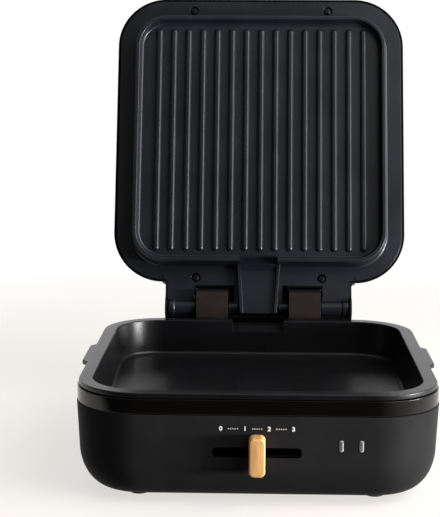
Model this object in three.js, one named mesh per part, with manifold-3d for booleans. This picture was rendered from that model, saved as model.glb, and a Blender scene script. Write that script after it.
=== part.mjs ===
// Electric grill with a deep lift-out pan and a hinged lid that carries a ribbed plate.
// Millimetres. X runs to the right, Y to the back and Z up. The lid stands open.
import * as THREE from 'three';
import { mergeVertices } from 'three/addons/utils/BufferGeometryUtils.js';
import Module from 'manifold-3d';

const wasm = await Module();
wasm.setup();

// Shared fits
const fitGap = 0.3;
const runGap = 0.7;
const overrun = 5;
const planSteps = 6;
const roundSides = 16;
const smallSides = 10;
const smallSteps = 3;
const smallRadius = 4;

// Base housing
const baseWidth = 300;
const baseDepth = 300;
const baseCorner = 55;
const baseTop = 77.5;
const baseUnderside = 6;
const baseWall = 3;
const baseDraft = 1.8;
const lowerCurveInset = 24;
const lowerCurveRise = 35;
const floorThickness = 4.5;
const floorRingWidth = 11;
const ledgeDepth = 6.5;
const ledgeThickness = 3;
const ledgeBelowTop = 2;

// Hinge block at the back of the housing, which carries the posts
const blockWidth = 192;
const blockCorner = 14;
const blockBeyondBase = 38;
const blockAboveBase = 10;
const blockUnderside = 30;
const blockEdge = 2.5;
const blockLowerCurve = 9;

// Trim band between housing and pan
const bandInset = 0.5;
const bandAboveBase = 12.9;
const bandShadowGap = 0.5;
const bandShelfWidth = 6;
const bandShelfThickness = 3;
const bandWall = 4.6;
const bandTongueInset = 3.4;
const bandEdge = 0.8;

// Bottom cover, its screws and the feet
const coverThickness = 2.3;
const ventCount = 6;
const ventLength = 58;
const ventWidth = 4;
const ventPitch = 14;
const ventOffset = 48;
const screwRadius = 1.8;
const screwHeadRadius = 3.4;
const screwHeadHeight = 2;
const coverScrewFromEnd = 88;
const coverScrewLength = 11;
const bossWall = 2.8;
const footFromSide = 52.5;
const footFromEnd = 44;
const footRadius = 8.5;
const footTaper = 0.8;
const footStemRadius = 3;
const footHeadRadius = 4.4;
const footHeadHeight = 1.6;

// Cooking pan
const panSetback = 1.65;
const panCornerEase = 0.3;
const rimWidth = 12;
const rimThickness = 4.5;
const rimEdge = 1.1;
const panInside = 33.2;
const panWall = 3.6;
const panFloor = 4;
const panDraft = 3.2;
const panFloorRound = 9;
const tabReach = 5;
const tabLength = 57;
const tabSlope = 7;
const tabThickness = 4;
const tabBack = -7;
const notchWidth = 51;
const notchDepth = 10.5;
const notchRise = 4.2;
const notchLip = 3;

// Heater, reflector and thermostat under the pan
const sheet = 0.8;
const trayStepDrop = 1.5;
const trayStepWidth = 16;
const trayFloorBelowTop = 37.5;
const traySlope = 8;
const heaterRadius = 3.5;
const heaterAboveTray = 10;
const heaterMargin = 58;
const heaterTailGap = 30;
const heaterTailDrop = 20;
const heaterSides = 6;
const heaterSteps = 38;
const clipLength = 14;
const clipWidth = 10;
const probeRadius = 12;
const probeFlangeRadius = 18;
const probeFlangeThickness = 2.5;
const probeLength = 26;
const fuseRadius = 4;
const fuseLength = 22;

// Heat slider and its control
const slotBelowTop = 30.2;
const slotLength = 71.2;
const slotHeight = 7.2;
const slotCorner = 2.5;
const sliderTravel = 29;
const knobWidth = 13.1;
const knobHeight = 31.5;
const knobDepth = 14;
const knobRound = 2.6;
const knobStandOff = 2.1;
const knobSocketDepth = 8;
const stemWidth = 7;
const stemThickness = 4;
const stemReach = 11;
const controlHeight = 13;
const controlDepth = 16;
const controlWall = 5;

// Indicators
const lampMiddleShare = 0.25;
const lampSpacing = 16;
const lampBelowTop = 24;
const lampWidth = 4.4;
const lampHeight = 10.6;
const lensProud = 0.2;
const ledRadius = 1.8;
const ledDrop = 1.5;
const boardMargin = 12;
const boardUnderside = 28;
const boardThickness = 1.6;
const boardStandOff = 5;
const pegRadius = 2.5;
const pegLevel = 36;

// Power inlet
const inletBelowBlock = 29.5;
const inletWidth = 30;
const inletHeight = 22;
const inletCorner = 5;
const inletDepth = 21;
const inletWall = 3;
const inletFloor = 4;
const inletFlange = 3.5;
const bladeWidth = 2;
const bladeHeight = 6;
const bladeLength = 13;
const bladeSpacing = 7;
const bladeDrop = 2.5;

// Hinge
const hingeBeyondBase = 21;
const hingeAboveBand = 11.1;
const openBeyondVertical = 18;
const pinRadius = 3;
const pinBore = 3.4;
const knuckleRadius = 8.5;
const postWidth = 31.2;
const postX = 46.8;
const postFront = 12.1;
const postBack = 12.6;
const postTop = 18.4;
const postChamfer = 4.5;
const knuckleEndMargin = 3;
const innerKnuckleWidth = 6;
const postScrewSpacing = 18;
const postScrewLength = 10;

// Lid outline, measured from the hinge line when closed
const lidWiderThanPan = 0.3;
const lidLongerThanPan = 3.3;
const lidCornerEase = 4;
const hingeToLid = 25.8;
const lidAbovePan = 1.8;
const lidHeight = 34;
const lidWall = 2.8;
const lidRim = 1.9;
const lidDraft = 2;
const lidCurve = 20;
const armSetback = 1.5;
const armFillet = 4;
const armThickness = 10;
const armCoverThickness = 2.8;
const postNotchStart = 5;
const shroudSteps = 4;
const shroudDrop = 3;

// Upper grill plate
const flangeThickness = 4;
const plateFromSide = 20;
const plateFromFront = 24.4;
const plateFromRear = 18.2;
const plateCornerEase = 18.7;
const plateRise = 20;
const plateRecess = 9;
const plateDraft = 1.2;
const beadWidth = 4.2;
const beadRound = 1.3;
const plateThickness = 3;
const ribCount = 15;
const ribFromSide = 23.01;
const ribFromEnd = 11.8;
const ribBase = 5.4;
const ribCrest = 2.2;
const ribHeight = 3.6;
const ribEndSlope = 3;
const plateScrewFront = 12.5;
const plateScrewFrontX = 70;
const plateScrewRear = 4.3;
const plateScrewRearX = 64;
const screwWellRadius = 4.3;
const screwWellDepth = 1.6;
const plateScrewLength = 16;

// Spout that drains the open plate
const spoutTopWidth = 43.5;
const spoutTipWidth = 37;
const spoutWall = 3;
const spoutWallRise = 6.5;
const spoutFloorRise = 3.5;
const spoutSlope = 9.6;
const spoutBeyondLid = 32.2;

// Inside the lid
const upperHeaterRadius = 3.3;
const upperLoopMargin = 26;
const upperTailGap = 36;
const upperTailLength = 30;
const upperClampWidth = 12;
const upperClampLength = 20;
const upperClampHeight = 3;
const shieldMargin = 5;
const shieldRise = 3;
const upperDiscRadius = 8;
const upperDiscHeight = 6;

// Lid handle
const handleLength = 130;
const handleDepth = 16;
const handleHeight = 12;
const handleRound = 4;
const handleFromFront = 42;
const handleClearance = 20;
const standoffRadius = 5;
const standoffFromEnd = 17;
const handleScrewLength = 28;

// Sizes, levels and places worked out from the sizes above
const panWidth = baseWidth - panSetback * 2;
const panDepth = baseDepth - panSetback * 2;
const panCorner = baseCorner - panCornerEase;
const lidWidth = panWidth + lidWiderThanPan;
const lidDepth = panDepth + lidLongerThanPan;
const lidCorner = panCorner - lidCornerEase;
const plateWidth = lidWidth - plateFromSide * 2;
const plateDepth = lidDepth - plateFromFront - plateFromRear;
const plateCorner = lidCorner - plateCornerEase;
const ribPitch = (plateWidth - ribFromSide * 2) / (ribCount - 1);
const ribLength = plateDepth - ribFromEnd * 2;
const armWidth = blockWidth - armSetback * 2;
const outerKnuckleEnd = armWidth / 2 - knuckleEndMargin;
const blockRear = baseDepth / 2 + blockBeyondBase;
const blockTop = baseTop + blockAboveBase;
const hingeBack = baseDepth / 2 + hingeBeyondBase;
const bandTop = baseTop + bandAboveBase;
const hingeLevel = bandTop + hingeAboveBand;
const slotLevel = baseTop - slotBelowTop;
const lampLevel = baseTop - lampBelowTop;
const inletLevel = blockTop - inletBelowBlock;
const trayFloorLevel = baseTop - trayFloorBelowTop;
const heaterLevel = trayFloorLevel + heaterAboveTray;
const heaterHalf = { x: baseWidth / 2 - heaterMargin, y: baseDepth / 2 - heaterMargin };
const footX = baseWidth / 2 - footFromSide;
const footY = baseDepth / 2 - footFromEnd;
const coverScrewY = baseDepth / 2 - coverScrewFromEnd;
const bandBottom = baseTop + bandShadowGap;
const rimUnderside = bandTop + fitGap;
const rimTop = rimUnderside + rimThickness;
const panFloorTop = rimTop - panInside;
const panUnderside = panFloorTop - panFloor;
const baseFront = -baseDepth / 2;
const baseRear = baseDepth / 2;
const flange = rimTop + lidAbovePan - hingeLevel;
const flangeBack = flange + flangeThickness;
const beadLevel = flange - plateRise;
const fieldLevel = beadLevel + plateRecess;
const pocketLevel = fieldLevel + plateThickness;
const lidTop = flange + lidHeight;
const lidMiddle = -hingeToLid - lidDepth / 2;
const lidFront = -hingeToLid - lidDepth;
const plateMiddle = -hingeToLid - plateFromRear - plateDepth / 2;
const notchEnd = -hingeToLid + postNotchStart;
const armCoverInside = knuckleRadius + fitGap;
const openAngle = THREE.MathUtils.degToRad(90 + openBeyondVertical);
const trayFlangeTop = baseTop - ledgeBelowTop + fitGap + sheet;

// The housing's front wall leans in by the draft: how far it stands in at a level.
function wallInset(level) {
  const curveStart = baseUnderside + lowerCurveRise;
  return baseDraft * (baseTop - level) / (baseTop - curveStart);
}

// Outlines and profiles
function roundedOutline(halfX, halfY, radius, steps = planSteps) {
  const corners = [[1, 1], [-1, 1], [-1, -1], [1, -1]];
  return corners.flatMap(([sideX, sideY], quarter) => {
    const points = [];
    for (let step = 0; step <= steps; step += 1) {
      const angle = (quarter + step / steps) * Math.PI / 2;
      const x = sideX * (halfX - radius) + radius * Math.cos(angle);
      const y = sideY * (halfY - radius) + radius * Math.sin(angle);
      points.push(new THREE.Vector2(x, y));
    }
    return points;
  });
}

// A curve from one profile point to another that hugs the corner between them.
function bend(from, corner, to, steps) {
  const points = [];
  for (let step = 0; step <= steps; step += 1) {
    const angle = step / steps * Math.PI / 2;
    const back = 1 - Math.sin(angle);
    const ahead = 1 - Math.cos(angle);
    const between = (k) => corner[k] + back * (from[k] - corner[k]) + ahead * (to[k] - corner[k]);
    points.push([between(0), between(1)]);
  }
  return points;
}

function shapeOf(points) {
  const flat = points.map((point) => new THREE.Vector2(point.x ?? point[0], point.y ?? point[1]));
  return new THREE.Shape(flat);
}

function pill(width, height, corner = Math.min(width, height) / 2 - fitGap / 10) {
  return shapeOf(roundedOutline(width / 2, height / 2, corner, smallSteps - 1));
}

// Closed surfaces
function facingOut(positions, index) {
  let volume = 0;
  const corner = [0, 1, 2].map(() => new THREE.Vector3());
  for (let i = 0; i < index.length; i += 3) {
    corner.forEach((point, k) => point.fromArray(positions, index[i + k] * 3));
    volume += corner[0].dot(corner[1].clone().cross(corner[2]));
  }
  if (volume < 0) {
    index.reverse();
  }
  const geometry = new THREE.BufferGeometry();
  geometry.setAttribute('position', new THREE.Float32BufferAttribute(positions, 3));
  geometry.setIndex(index);
  return geometry;
}

// Joins rings of points in order, either round in a loop or with a flat cap at each end.
function loft(rings, loop = false) {
  const count = rings[0].length;
  const index = [];
  const spans = loop ? rings.length : rings.length - 1;
  for (let ring = 0; ring < spans; ring += 1) {
    const here = ring * count;
    const next = ((ring + 1) % rings.length) * count;
    for (let i = 0; i < count; i += 1) {
      const j = (i + 1) % count;
      index.push(here + i, here + j, next + j, here + i, next + j, next + i);
    }
  }
  if (!loop) {
    const end = (rings.length - 1) * count;
    for (let i = 1; i < count - 1; i += 1) {
      index.push(0, i + 1, i, end, end + i, end + i + 1);
    }
  }
  return facingOut(rings.flat().flatMap((point) => [point.x, point.y, point.z]), index);
}

// Carries a profile of [inset, level] points round a rounded rectangle.
function aroundPlan(profile, plan, loop = false) {
  return loft(profile.map(([inset, level]) => {
    const radius = Math.max(plan.corner - inset, fitGap);
    const ring = roundedOutline(plan.width / 2 - inset, plan.depth / 2 - inset, radius, plan.steps);
    return ring.map((point) => new THREE.Vector3(point.x, point.y + plan.middle, level));
  }), loop);
}

// Solids from profiles pushed along an axis
function alongX(points, from, to) {
  const geometry = new THREE.ExtrudeGeometry(shapeOf(points), { depth: to - from, bevelEnabled: false });
  const axes = [new THREE.Vector3(0, 1, 0), new THREE.Vector3(0, 0, 1), new THREE.Vector3(1, 0, 0)];
  return geometry.applyMatrix4(new THREE.Matrix4().makeBasis(...axes)).translate(from, 0, 0);
}

function alongY(shape, x, level, from, to) {
  const geometry = new THREE.ExtrudeGeometry(shape, { depth: to - from, bevelEnabled: false });
  return geometry.rotateX(Math.PI / 2).translate(x, to, level);
}

function alongZ(shape, from, to) {
  return new THREE.ExtrudeGeometry(shape, { depth: to - from, bevelEnabled: false }).translate(0, 0, from);
}

function block(minX, maxX, minY, maxY, minZ, maxZ) {
  const geometry = new THREE.BoxGeometry(maxX - minX, maxY - minY, maxZ - minZ);
  return geometry.translate((minX + maxX) / 2, (minY + maxY) / 2, (minZ + maxZ) / 2);
}

function rod(radius, from, to, axis, x = 0, y = 0, z = 0) {
  const sides = radius < smallRadius ? smallSides : roundSides;
  const geometry = new THREE.CylinderGeometry(radius, radius, to - from, sides);
  geometry.translate(0, (from + to) / 2, 0);
  if (axis === 'x') {
    geometry.rotateZ(-Math.PI / 2);
  }
  if (axis === 'z') {
    geometry.rotateX(Math.PI / 2);
  }
  return geometry.translate(x, y, z);
}

function turned(points, sides = roundSides) {
  const profile = points.map(([radius, level]) => new THREE.Vector2(radius, level));
  return new THREE.LatheGeometry(profile, sides).rotateX(Math.PI / 2);
}

// Joins and cuts
function solidOf(geometry) {
  const bare = geometry.clone();
  bare.deleteAttribute('normal');
  bare.deleteAttribute('uv');
  const merged = mergeVertices(bare);
  const vertProperties = new Float32Array(merged.attributes.position.array);
  const triVerts = new Uint32Array(merged.index.array);
  return new wasm.Manifold(new wasm.Mesh({ numProp: 3, vertProperties, triVerts }));
}

function geometryOf(solid) {
  const mesh = solid.getMesh();
  const geometry = new THREE.BufferGeometry();
  geometry.setAttribute('position', new THREE.Float32BufferAttribute(mesh.vertProperties, 3));
  geometry.setIndex([...mesh.triVerts]);
  geometry.computeVertexNormals();
  return geometry;
}

function join(first, ...others) {
  return geometryOf(others.reduce((made, other) => made.add(solidOf(other)), solidOf(first)));
}

function cut(first, ...others) {
  return geometryOf(others.reduce((made, other) => made.subtract(solidOf(other)), solidOf(first)));
}

function common(first, other) {
  return geometryOf(solidOf(first).intersect(solidOf(other)));
}

// Materials
function finish(color, roughness, metalness) {
  return new THREE.MeshStandardMaterial({ color, roughness, metalness });
}

const mattBlack = finish('#2b2c2e', 0.62, 0);
const glossBlack = finish('#171513', 0.12, 0);
const castCoating = finish('#2e3033', 0.45, 0.1);
const coverBlack = finish('#232427', 0.5, 0);
const postBrown = finish('#3c3633', 0.6, 0);
const paleWood = finish('#dba86b', 0.55, 0);
const steel = finish('#b9bbbe', 0.3, 1);
const heaterSteel = finish('#6d6a66', 0.45, 1);
const tinPlate = finish('#c9cacb', 0.25, 1);
const rubber = finish('#141414', 0.9, 0);
const lensMilk = finish('#c9c8c4', 0.25, 0);
const boardGreen = finish('#2d5a3c', 0.6, 0);
const insulator = finish('#d8d2c4', 0.7, 0);
const brassPin = finish('#c4a45c', 0.3, 1);

// Base group
const base = new THREE.Group();
const pan = new THREE.Group();
const slider = new THREE.Group();
const lid = new THREE.Group();

function place(group, name, geometry, material) {
  const mesh = new THREE.Mesh(geometry, material);
  mesh.name = name;
  group.add(mesh);
  return mesh;
}

const basePlan = { width: baseWidth, depth: baseDepth, corner: baseCorner, middle: 0 };
const floorTop = baseUnderside + floorThickness;
const coverOpening = lowerCurveInset + baseDraft + floorRingWidth - bossWall;
const coverLedge = baseUnderside + coverThickness + fitGap * 2;
const coverScrewX = baseWidth / 2 - coverOpening - bossWall * 1.5 - screwRadius;

function housingOutside() {
  const curveTop = baseUnderside + lowerCurveRise;
  const curveEnd = [baseDraft + lowerCurveInset, baseUnderside];
  const curve = bend([baseDraft, curveTop], [baseDraft, baseUnderside], curveEnd, 5);
  return aroundPlan([[0, baseTop], ...curve], basePlan);
}

function housingInside() {
  const ledgeTop = baseTop - ledgeBelowTop;
  const ledgeUnder = ledgeTop - ledgeThickness;
  const wallBottom = baseWall + baseDraft;
  const curveTop = baseUnderside + lowerCurveRise;
  const ringInside = coverOpening + bossWall;
  const curveEnd = [wallBottom + lowerCurveInset - baseWall, floorTop];
  return aroundPlan([
    [baseWall, baseTop + overrun],
    [baseWall, ledgeTop],
    [ledgeDepth, ledgeTop],
    [ledgeDepth, ledgeUnder],
    [baseWall + wallInset(ledgeUnder), ledgeUnder],
    ...bend([wallBottom, curveTop], [wallBottom, floorTop], curveEnd, 3),
    [ringInside, floorTop],
    [ringInside, coverLedge],
    [coverOpening, coverLedge],
    [coverOpening, baseUnderside - overrun],
  ], basePlan);
}

const blockFront = baseRear - baseCorner / 2;
const blockPlan = {
  width: blockWidth,
  depth: blockRear - blockFront,
  corner: blockCorner,
  middle: (blockRear + blockFront) / 2,
  steps: smallSteps + 1,
};

function hingeBlock() {
  const under = [blockLowerCurve, blockUnderside];
  return aroundPlan([
    ...bend(under, [0, blockUnderside], [0, blockUnderside + blockLowerCurve * 2], 4),
    ...bend([0, blockTop - blockEdge], [0, blockTop], [blockEdge, blockTop], 3),
  ], blockPlan);
}

function hingeBlockCavity() {
  const inner = {
    width: blockWidth - baseWall * 2,
    depth: blockRear - baseRear - baseWall * 2,
    corner: blockCorner - baseWall,
    middle: (blockRear + baseRear) / 2,
    steps: smallSteps,
  };
  const lower = [blockLowerCurve - baseWall, blockUnderside + baseWall];
  const start = [0, blockUnderside + baseWall * 2 + blockLowerCurve];
  return aroundPlan([...bend(lower, [0, lower[1]], start, 3), [0, blockTop - baseWall]], inner);
}

function coverScrewPlaces() {
  const sides = [[-1, -1], [1, -1], [-1, 1], [1, 1]];
  return sides.map(([sideX, sideY]) => [sideX * coverScrewX, sideY * coverScrewY]);
}

function footPlaces() {
  return [
    ['front_left', -footX, -footY],
    ['front_right', footX, -footY],
    ['rear_left', -footX, footY],
    ['rear_right', footX, footY],
  ];
}

function postScrewPlaces() {
  const places = [];
  for (const side of [-1, 1]) {
    for (const end of [-1, 1]) {
      places.push([side * postX + end * postScrewSpacing / 2, hingeBack]);
    }
  }
  return places;
}

const lampMiddle = baseWidth * lampMiddleShare;
const lampPlaces = [lampMiddle - lampSpacing / 2, lampMiddle + lampSpacing / 2];
const boardLeft = lampPlaces[0] - boardMargin;
const boardRight = lampPlaces[1] + boardMargin;
const wallBack = baseFront + baseWall + baseDraft;
const pegPlaces = [boardLeft + pegRadius * 2, boardRight - pegRadius * 2];

function inletOutline(spread) {
  const halfX = inletWidth / 2 + spread;
  const halfY = inletHeight / 2 + spread;
  return shapeOf(roundedOutline(halfX, halfY, inletCorner, smallSteps));
}

function makeHousing() {
  const besideBand = bandInset - runGap;
  const aboveTub = aroundPlan([[besideBand, baseTop], [besideBand, blockTop + overrun]], basePlan);
  const shell = join(housingOutside(), cut(hingeBlock(), aboveTub));
  const passage = block(-inletWidth * 2, inletWidth * 2, wallBack + baseDepth / 2, baseRear + baseWall * 2,
    blockUnderside + blockLowerCurve * 1.5, baseTop - ledgeBelowTop - ledgeThickness - baseWall);
  const slot = alongY(pill(slotLength, slotHeight, slotCorner), 0, slotLevel, baseFront - overrun, wallBack + overrun);
  const windows = lampPlaces.map((x) => (
    alongY(pill(lampWidth, lampHeight), x, lampLevel, baseFront - overrun, wallBack + overrun)));
  const blockBack = blockRear - baseWall - overrun;
  const inletHole = alongY(inletOutline(fitGap), 0, inletLevel, blockBack, blockRear + overrun);
  const postHoles = postScrewPlaces().map(([x, y]) => (
    rod(screwRadius + fitGap, blockTop - baseWall - overrun, blockTop + overrun, 'z', x, y)));
  const openings = [passage, slot, ...windows, inletHole, ...postHoles];
  const hollow = cut(shell, housingInside(), hingeBlockCavity(), ...openings);
  const bossTop = coverLedge + coverScrewLength;
  const bosses = coverScrewPlaces().map(([x, y]) => (
    rod(screwRadius + bossWall, coverLedge, bossTop, 'z', x, y)));
  const pegRoot = baseFront + wallInset(pegLevel) + baseWall / 2;
  const pegs = pegPlaces.map((x) => (
    rod(pegRadius, pegRoot, wallBack + boardStandOff - fitGap, 'y', x, 0, pegLevel)));
  const bossHoles = coverScrewPlaces().map(([x, y]) => (
    rod(screwRadius + fitGap, coverLedge - overrun, bossTop - bossWall / 2, 'z', x, y)));
  return cut(join(hollow, ...bosses, ...pegs), ...bossHoles);
}

function makeBand() {
  const tongueBottom = trayFlangeTop + fitGap;
  const ring = aroundPlan([
    [bandInset, bandBottom],
    [bandInset, bandTop - bandEdge],
    [bandInset + bandEdge, bandTop],
    [bandShelfWidth, bandTop],
    [bandShelfWidth, bandTop - bandShelfThickness],
    [bandWall, bandTop - bandShelfThickness],
    [bandWall, tongueBottom],
    [bandTongueInset, tongueBottom],
    [bandTongueInset, bandBottom],
  ], basePlan, true);
  const half = notchWidth / 2 + notchLip + runGap;
  const low = rimTop - notchDepth - notchLip - fitGap;
  return cut(ring, block(-half, half, baseRear - bandShelfWidth * 2, baseRear, low, bandTop + overrun));
}

function makeBottomCover() {
  const inset = coverOpening + fitGap;
  const top = baseUnderside + fitGap + coverThickness;
  const plan = { ...basePlan, steps: smallSteps };
  const plate = aroundPlan([[inset, baseUnderside + fitGap], [inset, top]], plan);
  const holes = [];
  for (const side of [-1, 1]) {
    for (let row = 0; row < ventCount; row += 1) {
      const y = (row - (ventCount - 1) / 2) * ventPitch;
      const slot = alongZ(pill(ventLength, ventWidth), baseUnderside - overrun, top + overrun);
      holes.push(slot.translate(side * ventOffset, y, 0));
    }
  }
  for (const [x, y] of coverScrewPlaces()) {
    holes.push(rod(screwRadius + fitGap, baseUnderside - overrun, top + overrun, 'z', x, y));
  }
  for (const [, x, y] of footPlaces()) {
    holes.push(rod(footStemRadius + fitGap, baseUnderside - overrun, top + overrun, 'z', x, y));
  }
  return cut(plate, ...holes);
}

function makeFoot() {
  const top = baseUnderside;
  const head = baseUnderside + coverThickness + fitGap * 2;
  return turned([
    [0, 0],
    [footRadius - footTaper, 0],
    [footRadius, footTaper],
    [footRadius - footTaper, top],
    [footStemRadius, top],
    [footStemRadius, head],
    [footHeadRadius, head],
    [footStemRadius, head + footHeadHeight],
    [0, head + footHeadHeight],
  ], smallSides);
}

// A pan-headed screw that points up from its head's underside at the origin.
function makeScrew(length, radius = screwRadius) {
  return turned([
    [0, -screwHeadHeight],
    [screwHeadRadius * 0.8, -screwHeadHeight],
    [screwHeadRadius, 0],
    [radius, 0],
    [radius, length - radius],
    [0, length],
  ], smallSides - 3);
}

const trayStep = panUnderside - trayStepDrop;
const traySpread = ledgeDepth + fitGap * 2 + sheet;

function makeReflector() {
  const flangeOut = baseWall + fitGap * 3;
  const flangeTop = trayFlangeTop;
  const stepInset = traySpread + trayStepWidth;
  const floorInset = stepInset + traySlope;
  const dish = aroundPlan([
    [floorInset, trayFloorLevel - sheet],
    [stepInset - sheet, trayStep - sheet],
    [traySpread - sheet, trayStep - sheet],
    [traySpread - sheet, flangeTop - sheet],
    [flangeOut, flangeTop - sheet],
    [flangeOut, flangeTop],
    [traySpread, flangeTop],
    [traySpread, trayStep],
    [stepInset, trayStep],
    [floorInset, trayFloorLevel],
  ], { ...basePlan, steps: smallSteps + 1 });
  const low = trayFloorLevel - sheet - overrun;
  const high = trayFloorLevel + overrun;
  const tails = [-1, 1].map((side) => (
    rod(heaterRadius + fitGap * 4, low, high, 'z', side * heaterTailGap / 2, heaterHalf.y)));
  return cut(dish, rod(probeRadius + fitGap, low, high, 'z'), ...tails);
}

// A tube along straight runs that turn through round bends.
function tubeAlong(points, bendRadius, radius) {
  const path = new THREE.CurvePath();
  let here = points[0];
  for (let i = 1; i < points.length - 1; i += 1) {
    const corner = points[i];
    const arrival = points[i - 1].clone().sub(corner).setLength(bendRadius).add(corner);
    const leave = points[i + 1].clone().sub(corner).setLength(bendRadius).add(corner);
    path.add(new THREE.LineCurve3(here, arrival));
    path.add(new THREE.QuadraticBezierCurve3(arrival, corner, leave));
    here = leave;
  }
  path.add(new THREE.LineCurve3(here, points[points.length - 1]));
  const ring = [];
  for (let side = 0; side < heaterSides; side += 1) {
    const angle = side / heaterSides * Math.PI * 2;
    ring.push([radius * Math.cos(angle), radius * Math.sin(angle)]);
  }
  const along = { steps: heaterSteps, extrudePath: path, bevelEnabled: false };
  return new THREE.ExtrudeGeometry(shapeOf(ring), along);
}

function makeLowerHeater() {
  const { x, y } = heaterHalf;
  const tail = heaterTailGap / 2;
  const points = [
    new THREE.Vector3(-tail, y, heaterLevel - heaterTailDrop),
    new THREE.Vector3(-tail, y, heaterLevel),
    new THREE.Vector3(-x, y, heaterLevel),
    new THREE.Vector3(-x, -y, heaterLevel),
    new THREE.Vector3(x, -y, heaterLevel),
    new THREE.Vector3(x, y, heaterLevel),
    new THREE.Vector3(tail, y, heaterLevel),
    new THREE.Vector3(tail, y, heaterLevel - heaterTailDrop),
  ];
  return tubeAlong(points, heaterRadius * 2.5, heaterRadius);
}

// A clip built across the tube along X, then turned about its middle for a run along Y.
function makeHeaterClip() {
  const low = trayFloorLevel + fitGap;
  const clip = block(-clipWidth / 2, clipWidth / 2, -clipLength / 2, clipLength / 2, low, heaterLevel);
  return cut(clip, rod(heaterRadius + fitGap, -clipLength, clipLength, 'x', 0, 0, heaterLevel));
}

function makeProbe() {
  const flangeTop = trayFloorLevel - sheet - fitGap;
  const top = panUnderside - fitGap;
  return turned([
    [0, top - probeLength],
    [probeRadius, top - probeLength],
    [probeRadius, flangeTop - probeFlangeThickness],
    [probeFlangeRadius, flangeTop - probeFlangeThickness],
    [probeFlangeRadius, flangeTop],
    [probeRadius, flangeTop],
    [probeRadius, top - sheet],
    [probeRadius - sheet, top],
    [0, top],
  ]);
}

function makeFuse() {
  const level = trayFloorLevel - sheet - fitGap - fuseRadius;
  const y = probeFlangeRadius + fuseRadius * 3;
  return rod(fuseRadius, -fuseLength / 2, fuseLength / 2, 'x', 0, y, level);
}

// Cooking pan, which hangs by its rim on the band
const panPlan = { width: panWidth, depth: panDepth, corner: panCorner, middle: 0 };
const panWallTop = rimWidth;
const panWallBottom = rimWidth + panDraft;

// The notch's floor climbs from the pan's inner wall to the rim's outer edge.
function notchFloor(y) {
  return rimTop - notchDepth + notchRise * (y - panDepth / 2 + rimWidth) / rimWidth;
}

function notchCut() {
  const near = panDepth / 2 - rimWidth - overrun;
  const far = panDepth / 2 + overrun;
  return alongX([
    [near, notchFloor(near)],
    [far, notchFloor(far)],
    [far, rimTop + overrun],
    [near, rimTop + overrun],
  ], -notchWidth / 2, notchWidth / 2);
}

function notchTrough() {
  const near = panDepth / 2 - rimWidth + panWall / 2;
  const far = panDepth / 2 - rimEdge;
  return alongX([
    [near, notchFloor(near) - notchLip],
    [far, notchFloor(far) - notchLip],
    [far, rimUnderside + rimEdge],
    [near, rimUnderside + rimEdge],
  ], -notchWidth / 2 - notchLip, notchWidth / 2 + notchLip);
}

function makePan() {
  const outerTop = panWallTop - panWall;
  const outerBottom = panWallBottom - panWall;
  const cornerOut = panFloorRound + panFloor;
  const body = aroundPlan([
    ...bend([outerBottom + cornerOut, panUnderside], [outerBottom, panUnderside],
      [outerBottom, panUnderside + cornerOut], 4),
    [outerTop, rimUnderside],
    [rimEdge, rimUnderside],
    [0, rimUnderside + rimEdge],
    ...bend([0, rimTop - rimEdge], [0, rimTop], [rimEdge, rimTop], 2),
    ...bend([panWallTop - rimEdge, rimTop], [panWallTop, rimTop], [panWallTop, rimTop - rimEdge], 2),
    ...bend([panWallBottom, panFloorTop + panFloorRound], [panWallBottom, panFloorTop],
      [panWallBottom + panFloorRound, panFloorTop], 4),
  ], panPlan);
  const tabs = [-1, 1].map((side) => {
    const inner = side * (panWidth / 2 - rimWidth / 2);
    const root = side * panWidth / 2;
    const outer = side * (panWidth / 2 + tabReach);
    const near = tabBack - tabLength / 2;
    const far = tabBack + tabLength / 2;
    const shape = shapeOf([
      [inner, near - tabSlope],
      [root, near - tabSlope],
      [outer, near],
      [outer, far],
      [root, far + tabSlope],
      [inner, far + tabSlope],
    ]);
    return alongZ(shape, rimTop - fitGap - tabThickness, rimTop - fitGap);
  });
  return cut(join(body, ...tabs, notchTrough()), notchCut());
}

// Heat slider
const knobBack = baseFront + wallInset(slotLevel) - knobStandOff;

function makeKnob() {
  const plan = { width: knobWidth, depth: knobHeight, corner: knobRound, middle: 0, steps: 3 };
  const front = knobDepth - knobRound / 2;
  const body = aroundPlan([
    [knobRound / 3, 0],
    [0, knobRound / 3],
    [0, front],
    ...bend([0, front], [0, knobDepth], [knobRound / 2, knobDepth], 3).slice(1),
  ], plan);
  body.rotateX(Math.PI / 2).translate(0, knobBack, slotLevel);
  const wide = stemWidth / 2 + fitGap;
  const tall = stemThickness / 2 + fitGap;
  const deep = knobBack - knobSocketDepth;
  const socket = block(-wide, wide, deep, knobBack + overrun, slotLevel - tall, slotLevel + tall);
  return cut(body, socket);
}

function makeStem() {
  return block(-stemWidth / 2, stemWidth / 2, knobBack - knobSocketDepth + fitGap, wallBack + stemReach,
    slotLevel - stemThickness / 2, slotLevel + stemThickness / 2);
}

function makeSlideControl() {
  const half = sliderTravel + stemWidth / 2 + controlWall;
  const front = baseFront + wallInset(slotLevel) + baseWall + fitGap * 2;
  const top = trayStep - sheet - fitGap * 2;
  const body = block(-half, half, front, front + controlDepth, top - controlHeight, top);
  const run = sliderTravel + stemWidth / 2 + runGap;
  const channel = block(-run, run, front - overrun, wallBack + stemReach + runGap,
    slotLevel - stemThickness / 2 - runGap, slotLevel + stemThickness / 2 + runGap);
  return cut(body, channel);
}

// Indicators
function makeLens(x) {
  const front = baseFront + wallInset(lampLevel) - lensProud;
  const outline = pill(lampWidth - fitGap * 2, lampHeight - fitGap * 2);
  return alongY(outline, x, lampLevel, front, wallBack - fitGap);
}

function makeLed(x) {
  const lensBack = wallBack - fitGap;
  const back = wallBack + boardStandOff - fitGap;
  return rod(ledRadius, lensBack + fitGap, back, 'y', x, 0, lampLevel - ledDrop);
}

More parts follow.
